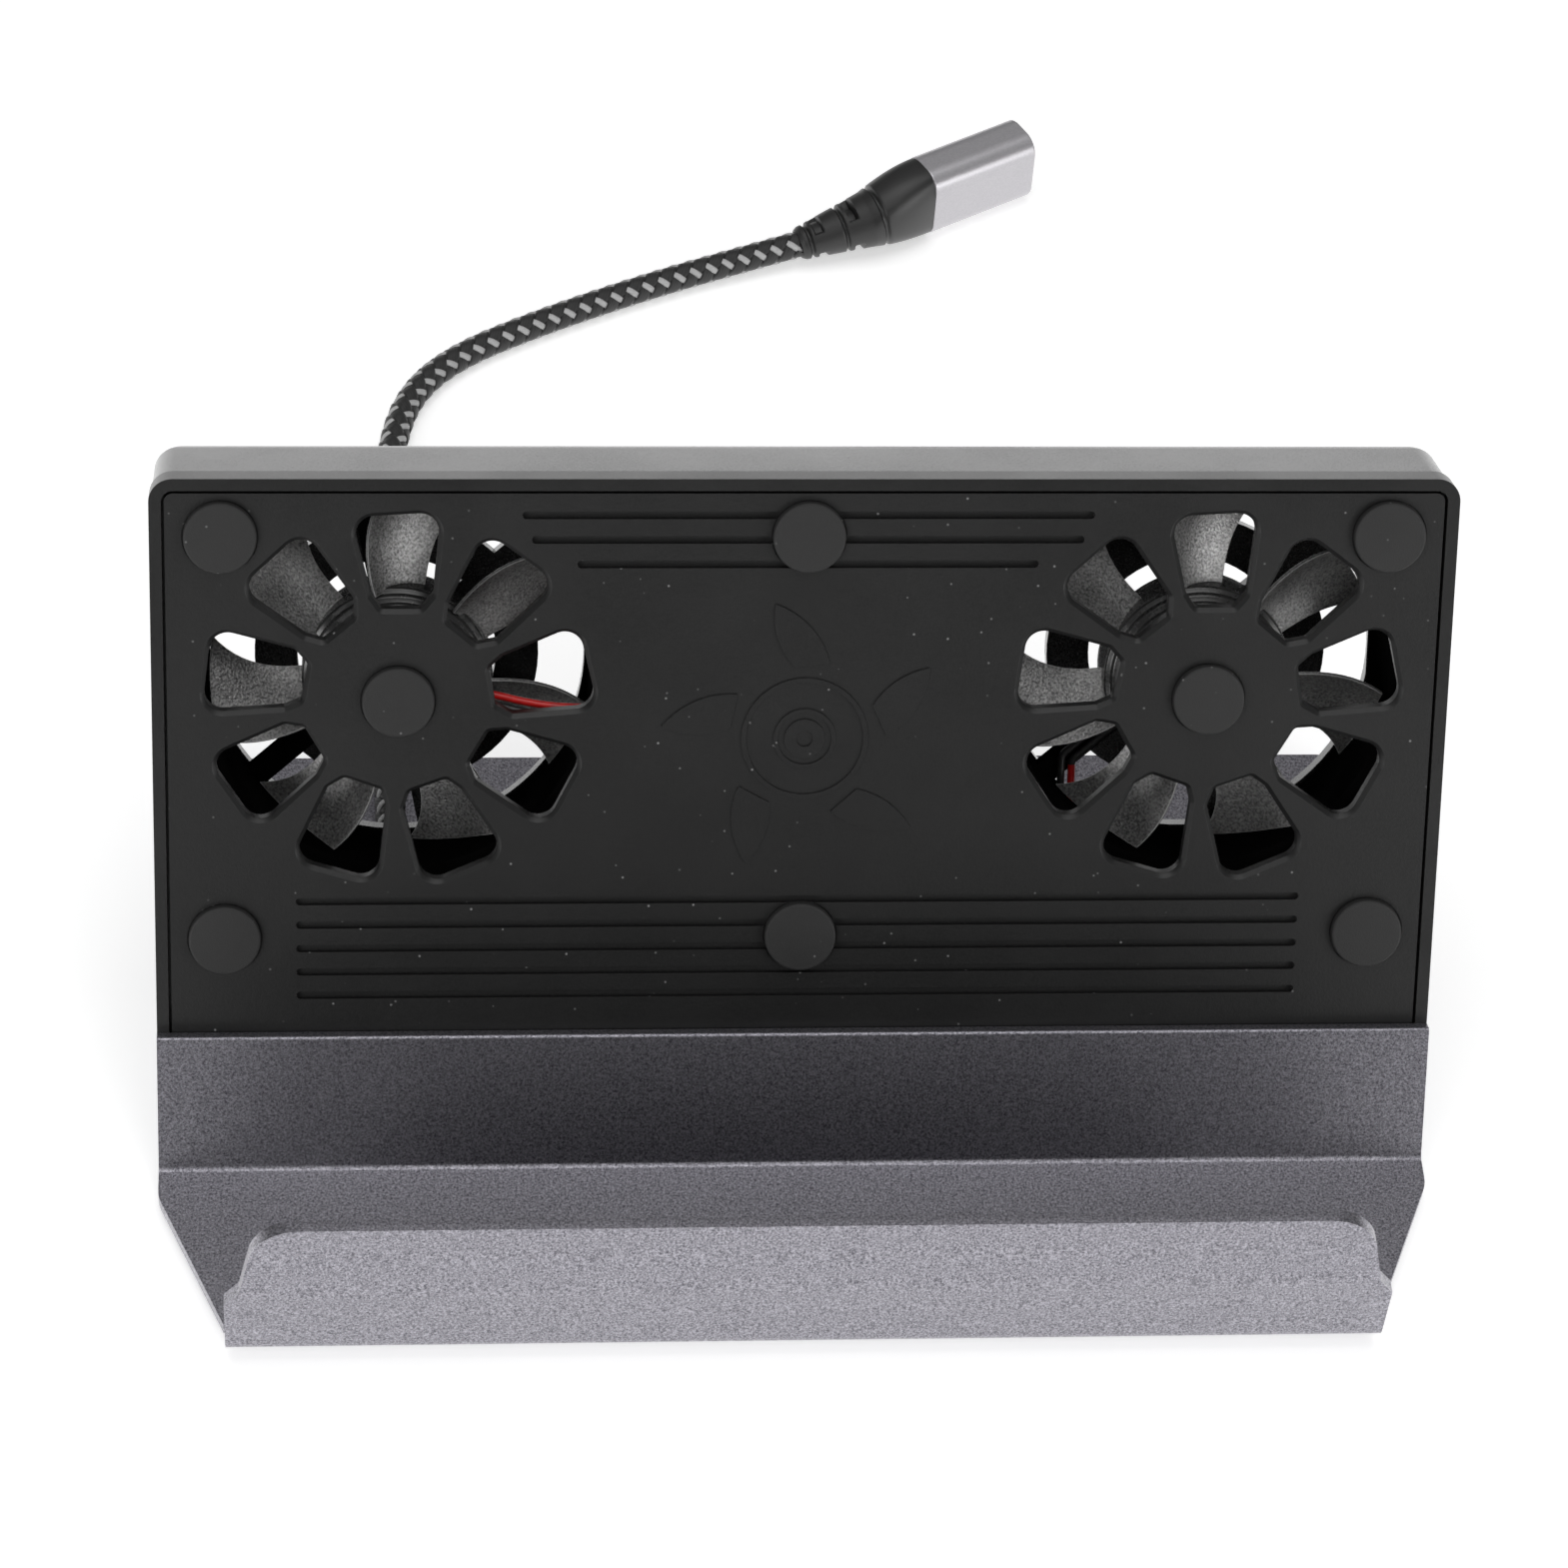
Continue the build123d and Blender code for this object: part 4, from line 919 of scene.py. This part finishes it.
def bladeMesh():
    rows, steps = rotorFacts["rows"], rotorFacts["steps"]
    around = [(step / steps, 1) for step in range(steps + 1)]
    around += [(1 - step / steps, -1) for step in range(steps + 1)]
    points = []
    for row in range(rows + 1):
        points += [bladePoint(row / rows, chord, offset) for chord, offset in around]
    count = len(around)
    faces = stripFaces(rows, count)
    for row, order in ((0, 1), (rows, -1)):  # the ends at the root and the tip
        ends = [row * count + corner for corner in range(count)]
        for step in range(steps):
            other = count - 1 - step
            faces.append(tuple([ends[step], ends[other], ends[other - 1], ends[step + 1]][::order]))
    # the blade's faces take the painted sheen and its rounded edges the painted highlight
    made = meshObject("blade", points, faces, ["fanBlack", "fanEdge"])
    mend(made.data, outward=True)
    return softEdges(made, rotorFacts["bladeEdge"], 1, rotorFacts["bladeSharp"])


def buildRotor(side, ring):
    values = {
        "Count": rotorFacts["count"],
        "Start": math.radians(fans[side]["phase"]),
        # the copies' faces take the grey with its painted sheen
        "Finish": materials["fanBlack"],
    }
    blades = applyTree(bladeMesh(), ring, values)
    hub = turned("hub", rotorFacts["hub"], rotorFacts["hubSteps"], "hubBlack")
    softEdges(hub, rotorFacts["hubEdge"], sharp=rotorFacts["hubSharp"])
    rotor = merged(side + "Rotor", [blades, hub], fans[side]["matrix"])
    assign(rotor, side + "_fan_rotor", "fan_plastic", side + "_rotor")


bladeRing = ringTree()
for side in fans:
    node, name = side + "_fan_frame", side + "FanFrame"
    dressed(node, name, "fan_plastic", ["ductBlack"], **fanFrameFacts)
    buildRotor(side, bladeRing)
print("fans")

# The left fan's two leads: up beside the frame, then across it in front of the blades
leadFacts = {
    "radius": 0.55,
    "spacing": 1.5,
    "foot": ((-24.85, -5.6, 11.2), (-24.85, -5.6, 17.0)),  # in the model, up from the board
    # the next two are on the slope, from the fan's axis
    "beside": (
        (31.4, -40.0, -17.4), (31.4, -10.0, -17.4), (31.4, -3.4, -15.0), (31.4, -2.6, -8.0),
    ),
    "over": (
        (30.6, -2.5, -4.3), (27.0, -2.4, -4.2), (21.7, -2.2, -4.2), (17.5, -1.5, -4.2),
        (14.5, -0.7, -4.2), (9.0, 0.6, -4.2), (5.0, 1.0, -4.2),
    ),
    "around": 14,
    "every": 4,  # how many of the curve's points make one ring
}


def buildLead(colour, hand, finish):  # hand is 1 for the right one of the pair, -1 for the left
    def onFan(x, y, z):
        return tuple(fans["left"]["matrix"] @ Vector((x * mm, y * mm, z * mm)) / mm)

    half = leadFacts["spacing"] / 2
    shift = hand * half
    spots = [(x + shift, y, z) for x, y, z in leadFacts["foot"]]
    spots += [onFan(x + shift, y, z) for x, y, z in leadFacts["beside"]]
    spots += [onFan(x, y + shift - half, z) for x, y, z in leadFacts["over"]]
    mesh = smoothLine("leadLine", spots)
    path = [vertex.co / mm for vertex in mesh.vertices][:: leadFacts["every"]]
    turns = [fullTurn * spoke / leadFacts["around"] for spoke in range(leadFacts["around"])]
    spokes = [(math.cos(turn), math.sin(turn)) for turn in turns]
    radius = leadFacts["radius"]
    rings = []
    for spot, across, upward in ringFrames(path, Vector((1, 0, 0))):
        rings.append([spot + (across * cosine + upward * sine) * radius for cosine, sine in spokes])
    lead = sweptRings("left" + colour.title() + "Lead", rings, finish)
    assign(lead, "stand", colour + "_wire", "left_" + colour + "_lead")


buildLead("red", 1, "wireRed")
buildLead("black", -1, "wireBlack")
print("left leads")

# Screws: each solid keeps its shape, with a cross cut into every head
screwFacts = {"length": 2.4, "width": 0.5, "depth": 0.7, "headFlat": 0.05}
screwGroups = {
    # the way that the heads face
    "panel_screws": slopeTurn @ Vector((0, 0, -1)),
    "plate_screws": Vector((0, 0, -1)),
    "left_fan_screws": slopeTurn @ Vector((0, 0, 1)),
    "right_fan_screws": slopeTurn @ Vector((0, 0, 1)),
}


def crossTree():
    labels = {"Length": "Float", "Width": "Float", "Depth": "Float", "Turn": "Vector"}
    graph = treeOf("crossOnEachHead", {**labels, "Finish": "Material"})
    given = graph.add("NodeGroupInput")
    bars = []
    for first, second in (("Length", "Width"), ("Width", "Length")):
        size = {"X": given.at(first), "Y": given.at(second), "Z": given.at("Depth") * 2}
        inputs = {"Size": graph.add("ShaderNodeCombineXYZ", None, size)}
        bars.append(graph.add("GeometryNodeMeshCube", None, inputs))
    points = graph.add("GeometryNodeMeshToPoints", None, {"Mesh": given.at("Geometry")})
    inputs = {"Points": points, "Instance": graph.joined(bars), "Rotation": given.at("Turn")}
    copies = graph.add("GeometryNodeInstanceOnPoints", None, inputs)
    real = graph.add("GeometryNodeRealizeInstances", None, {"Geometry": copies})
    graph.add("NodeGroupOutput", None, {"Geometry": graph.finished(real, given.at("Finish"))})
    return graph


def headCentres(mesh, out):  # the middle of each separate solid's outermost face, in mm
    shape = bmesh.new()
    shape.from_mesh(mesh)
    seen, centres = set(), []
    for start in shape.verts:
        if start in seen:
            continue
        seen.add(start)
        group = [start]
        for vertex in group:  # the list grows until it holds the whole solid
            others = [link.other_vert(vertex) for link in vertex.link_edges]
            fresh = [other for other in others if other not in seen]
            seen.update(fresh)
            group += fresh
        top = max(vertex.co.dot(out) for vertex in group) - screwFacts["headFlat"] * mm
        rim = [vertex.co for vertex in group if vertex.co.dot(out) > top]
        centres.append([value / mm for value in sum(rim, Vector()) / len(rim)])
    shape.free()
    return centres


def buildScrews(node, out, crosses):
    first, *others = node.split("_")
    name = first + "".join(word.title() for word in others)
    mesh = nodes[node].data.copy()
    mesh.name = name
    mend(mesh, weld=True)
    mesh.materials.clear()
    mesh.materials.append(materials["screwSteel"])
    centres = headCentres(mesh, out)
    cutters = meshObject(name + "Crosses", centres, [], ["screwSteel"])
    values = {
        "Length": screwFacts["length"] * mm,
        "Width": screwFacts["width"] * mm,
        "Depth": screwFacts["depth"] * mm,
        "Turn": out.to_track_quat("Z", "Y").to_euler(),
        "Finish": materials["screwSteel"],
    }
    applyTree(cutters, crosses, values)
    made = objectFrom(name, mesh)
    cut = made.modifiers.new("crosses", "BOOLEAN")
    cut.operation = "DIFFERENCE"
    cut.object = cutters
    cut.solver = "EXACT"
    cut.use_self = True
    baked(made)
    bpy.data.objects.remove(cutters)
    smooth(made.data, meshFacts["sharpSmall"])
    assign(made, "stand", "screw_steel", node)
    print(name, len(centres), "heads")


headCrosses = crossTree()
for node, out in screwGroups.items():
    buildScrews(node, out, headCrosses)

# Everything else is the solid itself, with a finish of its own
motorFinishes = {
    "magnet": "magnetGrey",
    "stator": "coreSteel",
    "windings": "coilCopper",
    "bearing": "bearingBronze",
    "shaft": "shaftSteel",
    "fan_board": "boardGreen",
}
keptFinishes = {
    "right_red_lead": "wireRed",
    "right_black_lead": "wireBlack",
    "board_spacers": "spacerNylon",
    "cord_gland": "reliefBlack",
    "ethernet_socket": "socketSteel",
    "fan_headers": "chipBlack",
    "hdmi_socket": "socketSteel",
    "hub_board": "boardGreen",
    "hub_chips": "chipBlack",
    "power_socket": "socketSteel",
    "tray_screws": "screwSteel",
    "usb_socket_1": "socketSteel",
    "usb_socket_2": "socketSteel",
    "usb_socket_3": "socketSteel",
}
# the right red lead's faces above this height take the black finish
leadTopBlackFacts = {"node": "right_red_lead", "finish": "wireBlack", "above": 34.0}  # mm up
for side in fans:
    for part, finish in motorFinishes.items():
        keptFinishes[side + "_" + part] = finish
for node, finish in keptFinishes.items():
    mesh = nodes[node].data
    mesh.materials.clear()
    mesh.materials.append(materials[finish])
    if node == leadTopBlackFacts["node"]:
        mesh.materials.append(materials[leadTopBlackFacts["finish"]])
        for face in mesh.polygons:
            face.material_index = int(face.center.z > leadTopBlackFacts["above"] * mm)
    smooth(mesh, meshFacts["sharpSmall"])
print("kept solids", len(keptFinishes))

ends = buildPlugEnd()
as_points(cordPath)
print("plug")

# Studio: a white table, soft lamps, and a dim room that is darkest low in front
tableLook = {"size": 3.0, "grey": 0.88, "rough": 0.8, "gloss": 0.2, "glow": 0.45, "mirrored": 1.0}
roomLook = {"low": 0.1, "high": 0.42, "front": 0.3, "rises": (0.0, 0.9), "clears": (-0.9, 0.5)}
lamps = {
    # place, aim, width, height, watts
    "above": ((0.02, 0.08, 1.15), (0.02, 0.02, 0.03), 0.85, 0.8, 4.7),
    "frontAbove": ((0.1, -0.62, 0.98), (0, 0, 0.06), 0.45, 0.35, 1.3),
    "leftSide": ((-0.62, -0.62, 0.3), (0, 0, 0.05), 0.5, 0.5, 3.8),
    "rightSide": ((0.7, -0.52, 0.2), (0, 0, 0.05), 0.5, 0.36, 3.4),
}


def tableTop(graph, position):  # glows only where it is seen, straight or in a reflection
    rays = ["Is %s Ray" % kind for kind in ("Camera", "Glossy", "Transmission")]
    direct, glossy, passing = (graph.add("ShaderNodeLightPath", out=ray) for ray in rays)
    seen = direct * tableLook["glow"] + (glossy + passing) * tableLook["mirrored"]
    return graph.principled(
        {
            "Base Color": grey(tableLook["grey"]),
            "Roughness": tableLook["rough"],
            "Specular IOR Level": tableLook["gloss"],
            "Emission Color": graph.mixColour(seen.between(0.0, 1.0), grey(0.0), grey(1.0)),
            "Emission Strength": 1.0,
        }
    )


table = bpy.data.meshes.new("table")
reach = tableLook["size"]
corners = [(-reach, -reach, 0), (reach, -reach, 0), (reach, reach, 0), (-reach, reach, 0)]
table.from_pydata(corners, [], [(0, 1, 2, 3)])
table.materials.append(makeMaterial("tableTop", tableTop))
objectFrom("table", table)

for name, (spot, aim, width, height, watts) in lamps.items():
    lamp = bpy.data.lights.new(name, "AREA")
    lamp.shape = "RECTANGLE"
    lamp.size = width
    lamp.size_y = height
    lamp.energy = watts
    made = objectFrom(name, lamp)
    made.location = spot
    made.rotation_euler = (Vector(spot) - Vector(aim)).to_track_quat("Z", "Y").to_euler()

room = bpy.data.worlds.new("room")
room.use_nodes = True
room.node_tree.nodes.clear()
roomGraph = Graph(room.node_tree)
outward = roomGraph.add("ShaderNodeTexCoord", out="Generated")
towards = roomGraph.add("ShaderNodeSeparateXYZ", None, {0: outward})
upper = towards.at("Z").between(*roomLook["rises"])
behind = towards.at("Y").between(*roomLook["clears"])
level = upper * (roomLook["high"] - roomLook["low"]) + roomLook["low"]
level = level * (behind * (1 - roomLook["front"]) + roomLook["front"])
air = roomGraph.add("ShaderNodeBackground", None, {"Color": grey(1.0), "Strength": level})
roomGraph.add("ShaderNodeOutputWorld", None, {"Surface": air})
scene.world = room
print("studio")
